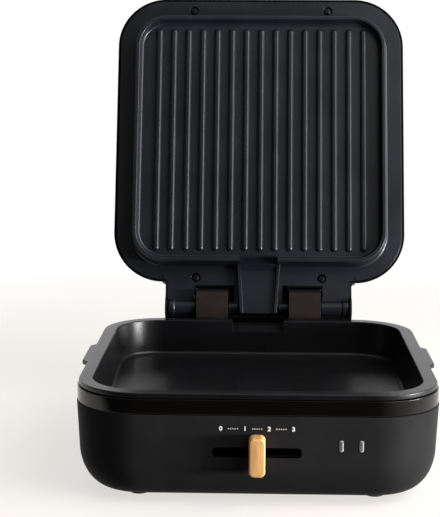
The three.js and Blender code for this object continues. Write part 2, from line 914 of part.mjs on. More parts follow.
function makeBoard() {
  const front = wallBack + boardStandOff;
  const top = trayStep - sheet - fitGap;
  return block(boardLeft, boardRight, front, front + boardThickness, boardUnderside, top);
}

// Power inlet
function makeInlet() {
  const inner = blockRear - baseWall;
  const body = alongY(inletOutline(0), 0, inletLevel, blockRear - inletDepth, blockRear + fitGap);
  const collar = alongY(inletOutline(inletFlange), 0, inletLevel, inner - fitGap - inletWall, inner - fitGap);
  const floor = blockRear - inletDepth + inletFloor;
  const recess = alongY(inletOutline(-inletWall), 0, inletLevel, floor, blockRear + overrun);
  return cut(join(body, collar), recess);
}

function makeBlade(x, drop) {
  const root = blockRear - inletDepth + inletFloor + fitGap;
  return block(x - bladeWidth / 2, x + bladeWidth / 2, root, root + bladeLength,
    inletLevel - bladeHeight / 2 - drop, inletLevel + bladeHeight / 2 - drop);
}

// Hinge posts stand on the block. The lid's notch comes to rest on their sloping back edge.
function makePost(side) {
  const slope = Math.tan(THREE.MathUtils.degToRad(openBeyondVertical));
  const lean = THREE.MathUtils.degToRad(openBeyondVertical);
  const foot = blockTop - hingeLevel;
  const stopAt = (y) => (-notchEnd - fitGap) / Math.cos(lean) - slope * y;
  const stopTop = Math.min(postTop + fitGap, stopAt(postBack) + slope * postBack / 4);
  const stopStart = postBack - (stopTop - stopAt(postBack)) / slope;
  const outlinePoints = [
    [-postFront, foot],
    [-postFront, postTop - postChamfer],
    [-postFront + postChamfer, postTop],
    [stopStart, stopTop],
    [postBack, stopAt(postBack)],
    [postBack, foot],
  ];
  const middle = side * postX;
  const body = alongX(outlinePoints, middle - postWidth / 2, middle + postWidth / 2);
  body.translate(0, hingeBack, hingeLevel);
  const bore = rod(pinBore, middle - postWidth, middle + postWidth, 'x', 0, hingeBack, hingeLevel);
  const holeTop = blockTop + postScrewLength - baseWall + fitGap;
  const screwPlaces = [middle - postScrewSpacing / 2, middle + postScrewSpacing / 2];
  const holes = screwPlaces.map((x) => (
    rod(screwRadius + fitGap, blockTop - overrun, holeTop, 'z', x, hingeBack)));
  return cut(body, bore, ...holes);
}

const innerKnuckleStart = postX - postWidth / 2 - runGap - innerKnuckleWidth;
const outerKnuckleStart = postX + postWidth / 2 + runGap + fitGap;

function makePin(side) {
  const from = side > 0 ? innerKnuckleStart + fitGap : -outerKnuckleEnd + fitGap;
  const to = side > 0 ? outerKnuckleEnd - fitGap : -innerKnuckleStart - fitGap;
  const pin = new THREE.CylinderGeometry(pinRadius, pinRadius, to - from, smallSides + 2);
  return pin.rotateZ(-Math.PI / 2).translate((from + to) / 2, hingeBack, hingeLevel);
}

// Lid, built closed about the hinge line
const lidPlan = { width: lidWidth, depth: lidDepth, corner: lidCorner, middle: lidMiddle };

// The hinge arms' footprint behind the lid, with a small concave fillet at each root.
function armFootprint(inset, forward, back) {
  const half = armWidth / 2 - inset;
  const rear = -hingeToLid - inset;
  const flare = armFillet;
  return shapeOf([
    [-half - flare, forward],
    [-half - flare, rear],
    ...bend([-half - flare, rear], [-half, rear], [-half, rear + flare], 3).slice(1),
    [-half, back],
    [half, back],
    ...bend([half, rear + flare], [half, rear], [half + flare, rear], 3),
    [half + flare, forward],
  ]);
}

function postNotches(inner) {
  const outer = outerKnuckleStart;
  return [[-outer, -inner], [inner, outer]].map(([left, right]) => (
    block(left, right, notchEnd, hingeToLid, beadLevel - overrun, lidTop)));
}

function plateScrewPlaces() {
  const front = lidFront + plateScrewFront;
  const rear = -hingeToLid - plateScrewRear;
  return [
    ['front_left', -plateScrewFrontX, front],
    ['front_right', plateScrewFrontX, front],
    ['rear_left', -plateScrewRearX, rear],
    ['rear_right', plateScrewRearX, rear],
  ];
}

// A rod on the hinge line, on one side of the middle.
function rodAcross(radius, side, from, to) {
  return rod(radius, Math.min(side * from, side * to), Math.max(side * from, side * to), 'x');
}

// The cover wraps round the back of the knuckles, with a round cheek over each outer end.
function hingeShroud() {
  const outer = armCoverInside + armCoverThickness;
  const around = (radius) => {
    const end = -Math.asin(shroudDrop / radius);
    const points = [];
    for (let step = 0; step <= shroudSteps; step += 1) {
      const angle = end + (Math.PI / 2 - end) * step / shroudSteps;
      points.push([radius * Math.cos(angle), radius * Math.sin(angle)]);
    }
    return points;
  };
  const wall = [[-armCoverThickness, outer], ...around(outer).reverse(), ...around(armCoverInside)];
  const half = armWidth / 2;
  const cheeks = [-1, 1].map((side) => rodAcross(outer, side, half - lidRim, half));
  return [alongX([...wall, [-armCoverThickness, armCoverInside]], -half, half), ...cheeks];
}

const standoffX = handleLength / 2 - standoffFromEnd;
const standoffPlaces = [-standoffX, standoffX];
const handleBack = lidFront + handleFromFront;

function makeLidCover() {
  const shellOut = aroundPlan([
    [0, flange],
    [lidDraft, lidTop - lidCurve],
    ...bend([lidDraft, lidTop - lidCurve], [lidDraft, lidTop], [lidDraft + lidCurve, lidTop], 5).slice(1),
  ], lidPlan);
  const roof = lidTop - lidWall;
  const shoulder = flangeBack + fitGap;
  const inner = lidWall + lidDraft;
  const shellIn = aroundPlan([
    [lidRim, flange - overrun],
    [lidRim, shoulder],
    [lidWall + fitGap, shoulder],
    ...bend([inner, lidTop - lidCurve], [inner, roof], [inner + lidCurve - lidWall, roof], 5),
  ], lidPlan);
  const arms = alongZ(armFootprint(0, -hingeToLid - lidCurve, 0), flange, armCoverInside + armCoverThickness);
  const armsHollow = armFootprint(lidRim, -hingeToLid - lidWall * 3, overrun);
  const armsIn = alongZ(armsHollow, flange - overrun, armCoverInside);
  const room = postNotches(postX - postWidth / 2 - runGap);
  const hollow = cut(join(cut(join(shellOut, arms), shellIn, armsIn), ...hingeShroud()), ...room);
  const bossBottom = shoulder + fitGap;
  const bosses = plateScrewPlaces().map(([, x, y]) => (
    common(shellOut, rod(screwRadius + bossWall, bossBottom, roof + lidWall / 2, 'z', x, y))));
  const holes = plateScrewPlaces().map(([, x, y]) => (
    rod(screwRadius + fitGap, bossBottom - overrun, flange + plateScrewLength + fitGap, 'z', x, y)));
  const handleHoles = standoffPlaces.map((x) => (
    rod(screwRadius + fitGap, roof - overrun, lidTop + overrun, 'z', x, handleBack)));
  return cut(join(hollow, ...bosses), ...holes, ...handleHoles);
}

const platePlan = { width: plateWidth, depth: plateDepth, corner: plateCorner, middle: plateMiddle };

// Room for the raised plate inside the flange, with the seam between them.
function raisedRoom() {
  const inset = -plateDraft - fitGap;
  return aroundPlan([[inset, beadLevel], [inset, flangeBack + overrun]], platePlan);
}

// Raised plate with its bead and the pocket behind it.
function plateBody() {
  const outer = aroundPlan([
    [-plateDraft, flangeBack],
    [-plateDraft, flange],
    [0, beadLevel + beadRound],
    ...bend([0, beadLevel + beadRound], [0, beadLevel], [beadRound, beadLevel], 2).slice(1),
  ], platePlan);
  const fieldEdge = beadWidth + plateDraft;
  const mouth = beadWidth - beadRound;
  const field = aroundPlan([
    ...bend([mouth, beadLevel], [beadWidth, beadLevel], [beadWidth, beadLevel + beadRound], 2),
    [fieldEdge, fieldLevel],
  ], platePlan);
  const above = aroundPlan([[mouth, beadLevel - overrun], [mouth, beadLevel]], platePlan);
  const pocket = aroundPlan([[fieldEdge, pocketLevel], [fieldEdge, flangeBack + overrun]], platePlan);
  return cut(outer, join(above, field), pocket);
}

function plateRib(x) {
  const near = plateMiddle - ribLength / 2;
  const far = plateMiddle + ribLength / 2;
  const root = fieldLevel + ribHeight / 4;
  const ring = (half, slope, level) => [
    new THREE.Vector3(x - half, near + slope, level),
    new THREE.Vector3(x + half, near + slope, level),
    new THREE.Vector3(x + half, far - slope, level),
    new THREE.Vector3(x - half, far - slope, level),
  ];
  return loft([
    ring(ribBase / 2, 0, root),
    ring(ribBase / 2, 0, fieldLevel),
    ring(ribCrest / 2 + ribHeight / 6, ribEndSlope * 0.8, fieldLevel - ribHeight * 0.8),
    ring(ribCrest / 2, ribEndSlope, fieldLevel - ribHeight),
  ]);
}

const spoutStart = -hingeToLid - plateFromRear;
const spoutTip = -hingeToLid + spoutBeyondLid;

function spoutOutline(inset, from, to) {
  const widthAt = (y) => {
    const along = (y - spoutStart) / (spoutTip - spoutStart);
    return (spoutTopWidth + (spoutTipWidth - spoutTopWidth) * along) / 2 - inset;
  };
  return shapeOf([[-widthAt(from), from], [widthAt(from), from], [widthAt(to), to], [-widthAt(to), to]]);
}

const spoutDeep = spoutStart - beadWidth - plateDraft - overrun;

function makePlate() {
  const gateOutline = spoutOutline(spoutWall, spoutDeep, spoutStart + overrun);
  const gate = alongZ(gateOutline, beadLevel - overrun, fieldLevel);
  const ribs = [];
  for (let i = 0; i < ribCount; i += 1) {
    ribs.push(plateRib((i - (ribCount - 1) / 2) * ribPitch));
  }
  return join(cut(plateBody(), gate), ...ribs);
}

// The spout lies in a slot of the flange and leads from the plate's gate past the hinge line.
function makeSpout() {
  const wall = flange - spoutWallRise;
  const tongue = alongZ(spoutOutline(0, spoutStart, spoutTip), wall, flangeBack);
  const channelFloor = flange - spoutFloorRise;
  const channel = alongX([
    [spoutDeep, fieldLevel],
    [spoutStart - plateDraft, fieldLevel],
    [spoutStart + spoutSlope, channelFloor],
    [spoutTip + overrun, channelFloor],
    [spoutTip + overrun, wall - overrun],
    [spoutDeep, wall - overrun],
  ], -spoutTopWidth, spoutTopWidth);
  const inside = alongZ(spoutOutline(spoutWall, spoutDeep, spoutTip + overrun), beadLevel, flangeBack);
  return cut(tongue, common(channel, inside), raisedRoom());
}

// Flange round the raised plate, with the hinge arms and their knuckles.
function makeFlange() {
  const flangeInset = lidRim + fitGap;
  const flangePlan = {
    width: lidWidth - flangeInset * 2,
    depth: lidDepth - flangeInset * 2,
    corner: lidCorner - flangeInset,
    middle: lidMiddle,
  };
  const innerRodStart = innerKnuckleStart - runGap * 6;
  const armTop = flange + armThickness;
  const armHalf = armWidth / 2 - flangeInset;
  const armPlate = alongZ(armFootprint(flangeInset, -hingeToLid - plateFromRear / 2, 0), flange, flangeBack);
  const bridge = block(-armHalf, armHalf, -hingeToLid + fitGap * 3, 0, flange, armTop);
  const sheetPart = aroundPlan([[0, flange], [0, flangeBack]], flangePlan);
  const knuckles = [-1, 1].flatMap((side) => [
    rodAcross(knuckleRadius, side, outerKnuckleStart, outerKnuckleEnd),
    rodAcross(knuckleRadius - runGap, side, innerRodStart, innerKnuckleStart + innerKnuckleWidth),
  ]);
  const bores = [-1, 1].map((side) => rodAcross(pinBore, side, innerRodStart, armWidth));
  const slot = alongZ(spoutOutline(-fitGap, spoutDeep, spoutTip + overrun), flange - overrun, flangeBack + fitGap);
  const flat = cut(join(sheetPart, armPlate, bridge), slot, ...postNotches(innerKnuckleStart - fitGap));
  const wells = plateScrewPlaces().flatMap(([, x, y]) => [
    rod(screwWellRadius, flange - overrun, flange + screwWellDepth, 'z', x, y),
    rod(screwRadius + fitGap, flange - overrun, flangeBack + lidHeight / 2, 'z', x, y),
  ]);
  return cut(join(flat, ...knuckles), raisedRoom(), ...bores, ...wells);
}

function makeUpperHeater() {
  const halfX = plateWidth / 2 - upperLoopMargin;
  const halfY = plateDepth / 2 - upperLoopMargin;
  const level = pocketLevel + fitGap + upperHeaterRadius;
  const tail = upperTailGap / 2;
  const rear = plateMiddle + halfY;
  const points = [
    new THREE.Vector3(-tail, rear - upperTailLength, level),
    new THREE.Vector3(-tail, rear, level),
    new THREE.Vector3(-halfX, rear, level),
    new THREE.Vector3(-halfX, plateMiddle - halfY, level),
    new THREE.Vector3(halfX, plateMiddle - halfY, level),
    new THREE.Vector3(halfX, rear, level),
    new THREE.Vector3(tail, rear, level),
    new THREE.Vector3(tail, rear - upperTailLength, level),
  ];
  return tubeAlong(points, upperHeaterRadius * 2.5, upperHeaterRadius);
}

function makeUpperClamp(side) {
  const x = side * (plateWidth / 2 - upperLoopMargin);
  const low = pocketLevel + fitGap;
  const top = low + upperHeaterRadius * 2 + fitGap + upperClampHeight;
  const half = { long: upperClampLength / 2, wide: upperClampWidth / 2, groove: upperHeaterRadius + fitGap };
  const [near, far] = [plateMiddle - half.wide, plateMiddle + half.wide];
  const body = block(x - half.long, x + half.long, near, far, low, top);
  return cut(body, block(x - half.groove, x + half.groove, near - overrun, far + overrun,
    low - overrun, top - upperClampHeight));
}

function makeUpperShield() {
  const under = flangeBack + fitGap;
  const outer = beadWidth + plateDraft - shieldMargin;
  return aroundPlan([
    [outer, under],
    [outer, under + shieldRise + sheet],
    [outer + shieldMargin * 2, under + shieldRise + sheet * 2],
    [outer + shieldMargin * 2, under + shieldRise + sheet],
    [outer + sheet, under + shieldRise],
    [outer + sheet, under],
  ].reverse(), platePlan, true);
}

function makeUpperThermostat() {
  const low = pocketLevel + fitGap;
  return turned([
    [0, low],
    [upperDiscRadius, low],
    [upperDiscRadius, low + upperDiscHeight / 2],
    [upperDiscRadius * 0.7, low + upperDiscHeight],
    [0, low + upperDiscHeight],
  ]).translate(0, plateMiddle, 0);
}

function makeHandle() {
  const low = lidTop + handleClearance + fitGap;
  const outline = { width: handleLength, depth: handleDepth, corner: handleRound };
  const plan = { ...outline, middle: handleBack, steps: smallSteps };
  const high = low + handleHeight;
  const body = aroundPlan([
    ...bend([handleRound / 2, low], [0, low], [0, low + handleRound / 2], 2),
    ...bend([0, high - handleRound], [0, high], [handleRound, high], 3),
  ], plan);
  const holes = standoffPlaces.map((x) => (
    rod(screwRadius + fitGap, low - overrun, low + handleHeight / 2, 'z', x, handleBack)));
  return cut(body, ...holes);
}

function makeStandoff(x) {
  const tube = rod(standoffRadius, lidTop + fitGap, lidTop + handleClearance, 'z', x, handleBack);
  const holeTop = lidTop + handleClearance + overrun;
  return cut(tube, rod(screwRadius + fitGap, lidTop - overrun, holeTop, 'z', x, handleBack));
}

// Put the pieces together
place(base, 'base_housing', makeHousing(), mattBlack);
place(base, 'trim_band', makeBand(), glossBlack);
place(base, 'bottom_cover', makeBottomCover(), coverBlack);
for (const [where, x, y] of footPlaces()) {
  place(base, `foot_${where}`, makeFoot(), rubber).position.set(x, y, 0);
}
coverScrewPlaces().forEach(([x, y], i) => {
  const screw = place(base, `cover_screw_${i + 1}`, makeScrew(coverScrewLength - fitGap), steel);
  screw.position.set(x, y, baseUnderside);
});
place(base, 'heat_reflector', makeReflector(), tinPlate);
place(base, 'lower_heater', makeLowerHeater(), heaterSteel);
place(base, 'heater_clip_front', makeHeaterClip(), steel).position.y = -heaterHalf.y;
for (const [where, side] of [['left', -1], ['right', 1]]) {
  const clip = place(base, `heater_clip_${where}`, makeHeaterClip(), steel);
  clip.position.x = side * heaterHalf.x;
  clip.rotation.z = Math.PI / 2;
}
place(base, 'pan_thermostat', makeProbe(), steel);
place(base, 'thermal_fuse', makeFuse(), insulator);
place(base, 'slide_control', makeSlideControl(), coverBlack);
place(base, 'control_board', makeBoard(), boardGreen);
['left', 'right'].forEach((where, i) => {
  place(base, `indicator_lens_${where}`, makeLens(lampPlaces[i]), lensMilk);
  place(base, `indicator_lamp_${where}`, makeLed(lampPlaces[i]), lensMilk);
});
place(base, 'power_inlet', makeInlet(), coverBlack);
place(base, 'inlet_blade_left', makeBlade(-bladeSpacing, 0), brassPin);
place(base, 'inlet_blade_right', makeBlade(bladeSpacing, 0), brassPin);
place(base, 'inlet_blade_earth', makeBlade(0, bladeDrop), brassPin);
for (const [where, side] of [['left', -1], ['right', 1]]) {
  place(base, `hinge_post_${where}`, makePost(side), postBrown);
  place(base, `hinge_pin_${where}`, makePin(side), steel);
}
postScrewPlaces().forEach(([x, y], i) => {
  const screw = place(base, `post_screw_${i + 1}`, makeScrew(postScrewLength - fitGap), steel);
  screw.position.set(x, y, blockTop - baseWall - fitGap);
});

place(pan, 'cooking_pan', makePan(), castCoating);

place(slider, 'slider_knob', makeKnob(), paleWood);
place(slider, 'slider_stem', makeStem(), steel);

place(lid, 'lid_cover', makeLidCover(), coverBlack);
place(lid, 'upper_grill_plate', makePlate(), castCoating);
place(lid, 'plate_flange', makeFlange(), castCoating);
place(lid, 'drain_spout', makeSpout(), castCoating);
const plateScrewReach = plateScrewLength - screwWellDepth - fitGap;
for (const [where, x, y] of plateScrewPlaces()) {
  const screw = place(lid, `plate_screw_${where}`, makeScrew(plateScrewReach), heaterSteel);
  screw.position.set(x, y, flange + screwWellDepth - fitGap);
}
place(lid, 'upper_heater', makeUpperHeater(), heaterSteel);
place(lid, 'heater_clamp_left', makeUpperClamp(-1), steel);
place(lid, 'heater_clamp_right', makeUpperClamp(1), steel);
place(lid, 'upper_shield', makeUpperShield(), tinPlate);
place(lid, 'upper_thermostat', makeUpperThermostat(), steel);
place(lid, 'lid_handle', makeHandle(), paleWood);
['left', 'right'].forEach((where, i) => {
  place(lid, `handle_standoff_${where}`, makeStandoff(standoffPlaces[i]), steel);
  const screw = place(lid, `handle_screw_${where}`, makeScrew(handleScrewLength - fitGap), steel);
  screw.position.set(standoffPlaces[i], handleBack, lidTop - lidWall - fitGap);
});
lid.position.set(0, hingeBack, hingeLevel);
lid.rotation.x = -openAngle;

// The origin lies on the table below the middle of the open grill.
const assembly = new THREE.Group();
assembly.add(base, pan, slider, lid);
assembly.updateMatrixWorld(true);
const middle = new THREE.Box3().setFromObject(assembly, true).getCenter(new THREE.Vector3());
assembly.position.set(-middle.x, -middle.y, 0);

const grill = new THREE.Group();
grill.add(assembly);

export default grill;
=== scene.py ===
"""Electric grill with a deep lift-out pan and a hinged lid with a ribbed plate, in metres."""
import math

import bmesh
import bpy
from mathutils import Matrix, Vector


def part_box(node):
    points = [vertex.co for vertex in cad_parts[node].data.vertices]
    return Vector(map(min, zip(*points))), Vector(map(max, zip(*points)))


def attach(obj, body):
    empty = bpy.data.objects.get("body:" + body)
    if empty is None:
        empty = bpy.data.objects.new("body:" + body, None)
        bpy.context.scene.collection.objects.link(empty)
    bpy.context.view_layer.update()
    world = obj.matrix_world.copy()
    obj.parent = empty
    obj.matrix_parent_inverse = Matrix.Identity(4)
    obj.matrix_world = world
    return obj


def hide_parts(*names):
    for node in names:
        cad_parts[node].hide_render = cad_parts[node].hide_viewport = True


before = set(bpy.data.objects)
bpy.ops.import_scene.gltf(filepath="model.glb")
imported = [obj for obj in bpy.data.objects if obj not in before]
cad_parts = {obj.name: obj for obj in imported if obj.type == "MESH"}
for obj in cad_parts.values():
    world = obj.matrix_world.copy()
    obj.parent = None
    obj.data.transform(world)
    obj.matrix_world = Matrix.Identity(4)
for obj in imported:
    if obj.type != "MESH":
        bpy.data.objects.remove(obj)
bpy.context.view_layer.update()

MM = 0.001

# Camera
# It stands in front of the grill, a little lower than the top of the open lid, with a long lens.
# Its place and angles come from the outlines of rim, lid, posts and housing in the photograph.
IMAGE_HEIGHT = 517
FOCAL_PIXELS = 1379.4
CAMERA_PLACE = Vector((0.13, -1285.3, 374.8)) * MM
CAMERA_PITCH = math.radians(9.164)
CAMERA_YAW = math.radians(-1.631)
CAMERA_ROLL = math.radians(0.225)
SENSOR = 36.0

ahead = Vector((math.sin(CAMERA_YAW) * math.cos(CAMERA_PITCH),
                math.cos(CAMERA_YAW) * math.cos(CAMERA_PITCH), -math.sin(CAMERA_PITCH)))
level_right = Vector((math.cos(CAMERA_YAW), -math.sin(CAMERA_YAW), 0))
right = level_right * math.cos(CAMERA_ROLL) + level_right.cross(ahead) * math.sin(CAMERA_ROLL)
camera = bpy.data.objects.new("camera", bpy.data.cameras.new("camera"))
camera.data.lens = FOCAL_PIXELS / IMAGE_HEIGHT * SENSOR
camera.data.sensor_width = SENSOR
camera.matrix_world = Matrix.Translation(CAMERA_PLACE) @ Matrix(
    (right, right.cross(ahead), -ahead)).transposed().to_4x4()
bpy.context.scene.collection.objects.link(camera)
bpy.context.scene.camera = camera
bpy.context.scene.view_settings.view_transform = "Standard"


# Light, floor and background
# A large soft lamp stands high at the front right, a tall narrow one at the right draws the edges, and
# a low one beside it lights the base. The backdrop behind is white, also where the grill mirrors it.
# The floor is a pale disc that fades into it, and its front part isn't mirrored.
class Value:
    """A socket in a node tree. Python's operators on it add Math nodes."""

    def __init__(self, tree, socket):
        self.tree = tree
        self.socket = socket

    def _math(self, operation, first, second):
        return self.tree.add("ShaderNodeMath", {"operation": operation}, {0: first, 1: second})

    def __add__(self, other):
        return self._math("ADD", self, other)

    def __radd__(self, other):
        return self._math("ADD", other, self)

    def __sub__(self, other):
        return self._math("SUBTRACT", self, other)

    def __rsub__(self, other):
        return self._math("SUBTRACT", other, self)

    def __mul__(self, other):
        return self._math("MULTIPLY", self, other)

    def __rmul__(self, other):
        return self._math("MULTIPLY", other, self)

    def above(self, low, high):
        """Rises smoothly from 0 at low to 1 at high."""
        return self.tree.add("ShaderNodeMapRange", {"interpolation_type": "SMOOTHSTEP"},
                             {"Value": self, "From Min": low, "From Max": high})


class Tree:
    """The nodes of one material or of the world."""

    def __init__(self, tree):
        self.tree = tree
        tree.nodes.clear()

    def add(self, kind, settings=None, inputs=None, output=0):
        node = self.tree.nodes.new(kind)
        for name, setting in (settings or {}).items():
            setattr(node, name, setting)
        for key, item in (inputs or {}).items():
            if isinstance(item, Value):
                self.tree.links.new(item.socket, node.inputs[key])
            else:
                node.inputs[key].default_value = item
        return Value(self, node.outputs[output]) if node.outputs else None

    def mixed(self, factor, first, second):
        """A colour between two colours."""
        settings = {"data_type": "RGBA"}
        return self.add("ShaderNodeMix", settings, {0: factor, 6: first, 7: second}, 2)

    def axis(self, vector, name):
        return self.add("ShaderNodeSeparateXYZ", None, {0: vector}, name)


def tone(red, green, blue):
    """A colour as it is picked on a screen, turned into light levels."""
    parts = (red / 255, green / 255, blue / 255)
    return (*(p / 12.92 if p <= 0.04045 else ((p + 0.055) / 1.055) ** 2.4 for p in parts), 1.0)


WHITE = (1.0, 1.0, 1.0, 1.0)
world = bpy.data.worlds.new("studio")
bpy.context.scene.world = world
world.use_nodes = True
sky = Tree(world.node_tree)
direction = sky.add("ShaderNodeTexCoord", output="Generated")
behind = sky.axis(direction, "Y").above(0.2, 0.8)
rightward = sky.axis(direction, "X").above(-0.25, 0.3)
overhead = sky.axis(direction, "Z").above(0.3, 1.0)
beside = sky.axis(direction, "X").above(0.1, 0.9)
DARK_LEVEL = 0.01
BACKDROP_LEVEL = 0.6
BACKDROP_RIGHT_LEVEL = 0.55
CEILING_LEVEL = 0.5
RIGHT_WALL_LEVEL = 0.65
backdrop = behind * (BACKDROP_LEVEL + rightward * BACKDROP_RIGHT_LEVEL)
studio = DARK_LEVEL + backdrop + overhead * CEILING_LEVEL + beside * RIGHT_WALL_LEVEL
camera_ray, clear_ray, glossy_ray = (
    sky.add("ShaderNodeLightPath", output=f"Is {kind} Ray")
    for kind in ("Camera", "Transmission", "Glossy"))
seen = camera_ray + clear_ray + glossy_ray * behind
level = seen + (1 - seen) * studio
background = sky.add("ShaderNodeBackground", None, {"Color": WHITE, "Strength": level})
sky.add("ShaderNodeOutputWorld", None, {"Surface": background})

LAMP_TARGET = Vector((0, -0.05, 0.1))
for name, place, width, height, power in (
        ("key_lamp", (1.35, -1.1, 1.6), 1.4, 1.4, 27.0),
        ("side_lamp", (1.4, -0.25, 0.7), 0.25, 1.2, 10.0),
        ("low_lamp", (1.35, -0.6, 0.12), 0.5, 0.2, 44.0)):
    lamp = bpy.data.objects.new(name, bpy.data.lights.new(name, "AREA"))
    lamp.data.shape = "RECTANGLE"
    lamp.data.size = width
    lamp.data.size_y = height
    lamp.data.energy = power
    lamp.location = place
    aim = LAMP_TARGET - lamp.location
    lamp.rotation_euler = aim.to_track_quat("-Z", "Y").to_euler()
    bpy.context.scene.collection.objects.link(lamp)

FLOOR_RADIUS = 1.1
FLOOR_SIDES = 64
FADE_START = 0.45
FADE_END = 0.99
FRONT_START = 0.26
FRONT_END = 0.4
FLOOR_TONE = tone(252, 245, 238)
FLOOR_GLOW = 0.66
FLOOR_BOUNCE = tone(64, 62, 60)
GLOW_TONE = tone(254, 251, 248)
floor_mesh = bpy.data.meshes.new("floor")
turns = [i / FLOOR_SIDES * math.tau for i in range(FLOOR_SIDES)]
rim = [(FLOOR_RADIUS * math.cos(t), FLOOR_RADIUS * math.sin(t), 0) for t in turns]
floor_mesh.from_pydata(rim, [], [range(FLOOR_SIDES)])
floor = bpy.data.objects.new("floor", floor_mesh)
bpy.context.scene.collection.objects.link(floor)
floor_material = bpy.data.materials.new("paper_floor")
floor_material.use_nodes = True
paper = Tree(floor_material.node_tree)
place_on_floor = paper.add("ShaderNodeTexCoord", output="Object")
distance = paper.add("ShaderNodeVectorMath", {"operation": "LENGTH"}, {0: place_on_floor}, "Value")
fade = distance.above(FADE_START, FADE_END)
scattered = paper.add("ShaderNodeLightPath", output="Is Diffuse Ray")
mirrored = paper.add("ShaderNodeLightPath", output="Is Glossy Ray")
in_front = (0 - paper.axis(place_on_floor, "Y")).above(FRONT_START, FRONT_END)
unseen = 1 - (1 - fade) * (1 - mirrored * in_front)
floor_colour = paper.mixed(scattered, FLOOR_TONE, FLOOR_BOUNCE)
matt = paper.add("ShaderNodeBsdfDiffuse", None, {"Color": floor_colour})
glow = paper.add("ShaderNodeEmission", None, {"Color": GLOW_TONE, "Strength": 1.0})
lifted = paper.add("ShaderNodeMixShader", None, {0: (1 - scattered) * FLOOR_GLOW, 1: matt, 2: glow})
gone = paper.add("ShaderNodeBsdfTransparent")
faded = paper.add("ShaderNodeMixShader", None, {0: unseen, 1: lifted, 2: gone})
paper.add("ShaderNodeOutputMaterial", None, {"Surface": faded})
floor_mesh.materials.append(floor_material)


# Base housing
# A deep rounded-square tub moulded in black plastic, with a fine matt skin and a large lower curve.
# The hinge block is moulded on behind it with a duller skin, and holds the inlet; its darker colour is
# painted shade from the lid above it.
SHARPEST = 0.2 * MM
HAIR = 0.02 * MM  # keeps a fully rounded end from closing on itself


def bend(start, corner, end, steps):
    """A round curve from start to end that hugs the corner between them."""
    points = []
    for step in range(steps + 1):
        angle = step / steps * math.pi / 2
        back, on = 1 - math.sin(angle), 1 - math.cos(angle)
        points.append(tuple(c + back * (s - c) + on * (e - c) for s, c, e in zip(start, corner, end)))
    return points


def ring(plan, inset, level, steps):
    """A rounded rectangle at one level, drawn in from its plan by the inset."""
    radius = max(plan["corner"] - inset, SHARPEST)
    half_x, half_y = plan["width"] / 2 - inset - radius, plan["depth"] / 2 - inset - radius
    points = []
    for quarter, (side_x, side_y) in enumerate(((1, 1), (-1, 1), (-1, -1), (1, -1))):
        for step in range(steps + 1):
            angle = (quarter + step / steps) * math.pi / 2
            points.append((side_x * half_x + radius * math.cos(angle),
                           plan["middle"] + side_y * half_y + radius * math.sin(angle), level))
    return points


def lofted(rings, loop=False):
    """A closed mesh through rings of points, round in a loop or with a flat cap at each end."""
    count = len(rings[0])
    points = [point for each in rings for point in each]
    faces = []
    for here in range(len(rings) if loop else len(rings) - 1):
        there = (here + 1) % len(rings)
        for i in range(count):
            j = (i + 1) % count
            faces.append((here * count + i, here * count + j, there * count + j, there * count + i))
    if not loop:
        faces.append(tuple(range(count))[::-1])
        faces.append(tuple((len(rings) - 1) * count + i for i in range(count)))
    mesh = bpy.data.meshes.new("loft")
    mesh.from_pydata(points, [], faces)
    return outward(mesh)


def outward(mesh):
    """Turns the faces of a closed mesh outwards."""
    work = bmesh.new()
    work.from_mesh(mesh)
    bmesh.ops.remove_doubles(work, verts=work.verts, dist=HAIR / 10)
    bmesh.ops.recalc_face_normals(work, faces=work.faces)
    work.to_mesh(mesh)
    work.free()
    return mesh


def around(profile, plan, loop=False, steps=18):
    """A mesh from a profile of insets and levels, led round a plan."""
    return lofted([ring(plan, inset, level, steps) for inset, level in profile], loop)


def block(low, high):
    corners = [(x, y, z) for z in (low[2], high[2])
               for x, y in ((low[0], low[1]), (high[0], low[1]), (high[0], high[1]), (low[0], high[1]))]
    return lofted([corners[:4], corners[4:]])


def pushed(outline, axis, start, end):
    """A flat outline pushed along an axis: the outline's numbers fill the other two axes in order."""
    def at(depth):
        return [tuple((*point[:axis], depth, *point[axis:])) for point in outline]
    return lofted([at(start), at(end)])


def rod(radius, axis, start, end, centre, sides=40):
    """A round bar along an axis, whose centre is given on the other two."""
    turns = [i / sides * math.tau for i in range(sides)]
    outline = [(centre[0] + radius * math.cos(t), centre[1] + radius * math.sin(t)) for t in turns]
    return pushed(outline, axis, start, end)


def shaped(mesh, kind, **settings):
    """The mesh with one modifier worked into it."""
    holder = bpy.data.objects.new("work", mesh)
    bpy.context.scene.collection.objects.link(holder)
    modifier = holder.modifiers.new(kind, kind)
    for name, setting in settings.items():
        setattr(modifier, name, setting)
    graph = bpy.context.evaluated_depsgraph_get()
    result = bpy.data.meshes.new_from_object(holder.evaluated_get(graph))
    bpy.data.objects.remove(holder)
    return result


def joined(*meshes):
    """Several meshes as one, without cutting them."""
    work = bmesh.new()
    for mesh in meshes:
        work.from_mesh(mesh)
    result = bpy.data.meshes.new("joined")
    work.to_mesh(result)
    work.free()
    return result


def with_tool(mesh, tool, operation):
    """The mesh cut by, or joined with, a second one."""
    other = bpy.data.objects.new("tool", tool)
    bpy.context.scene.collection.objects.link(other)
    result = shaped(mesh, "BOOLEAN", operation=operation, solver="EXACT", object=other)
    bpy.data.objects.remove(other)
    return result


def carved(mesh, *cutters):
    return with_tool(mesh, joined(*cutters), "DIFFERENCE")


def fused(mesh, *others):
    for other in others:
        mesh = with_tool(mesh, other, "UNION")
    return mesh


def softened(mesh, width, segments=2, angle=40):
    """The mesh with its sharp edges rounded."""
    return shaped(mesh, "BEVEL", width=width, segments=segments, limit_method="ANGLE",
                  angle_limit=math.radians(angle))


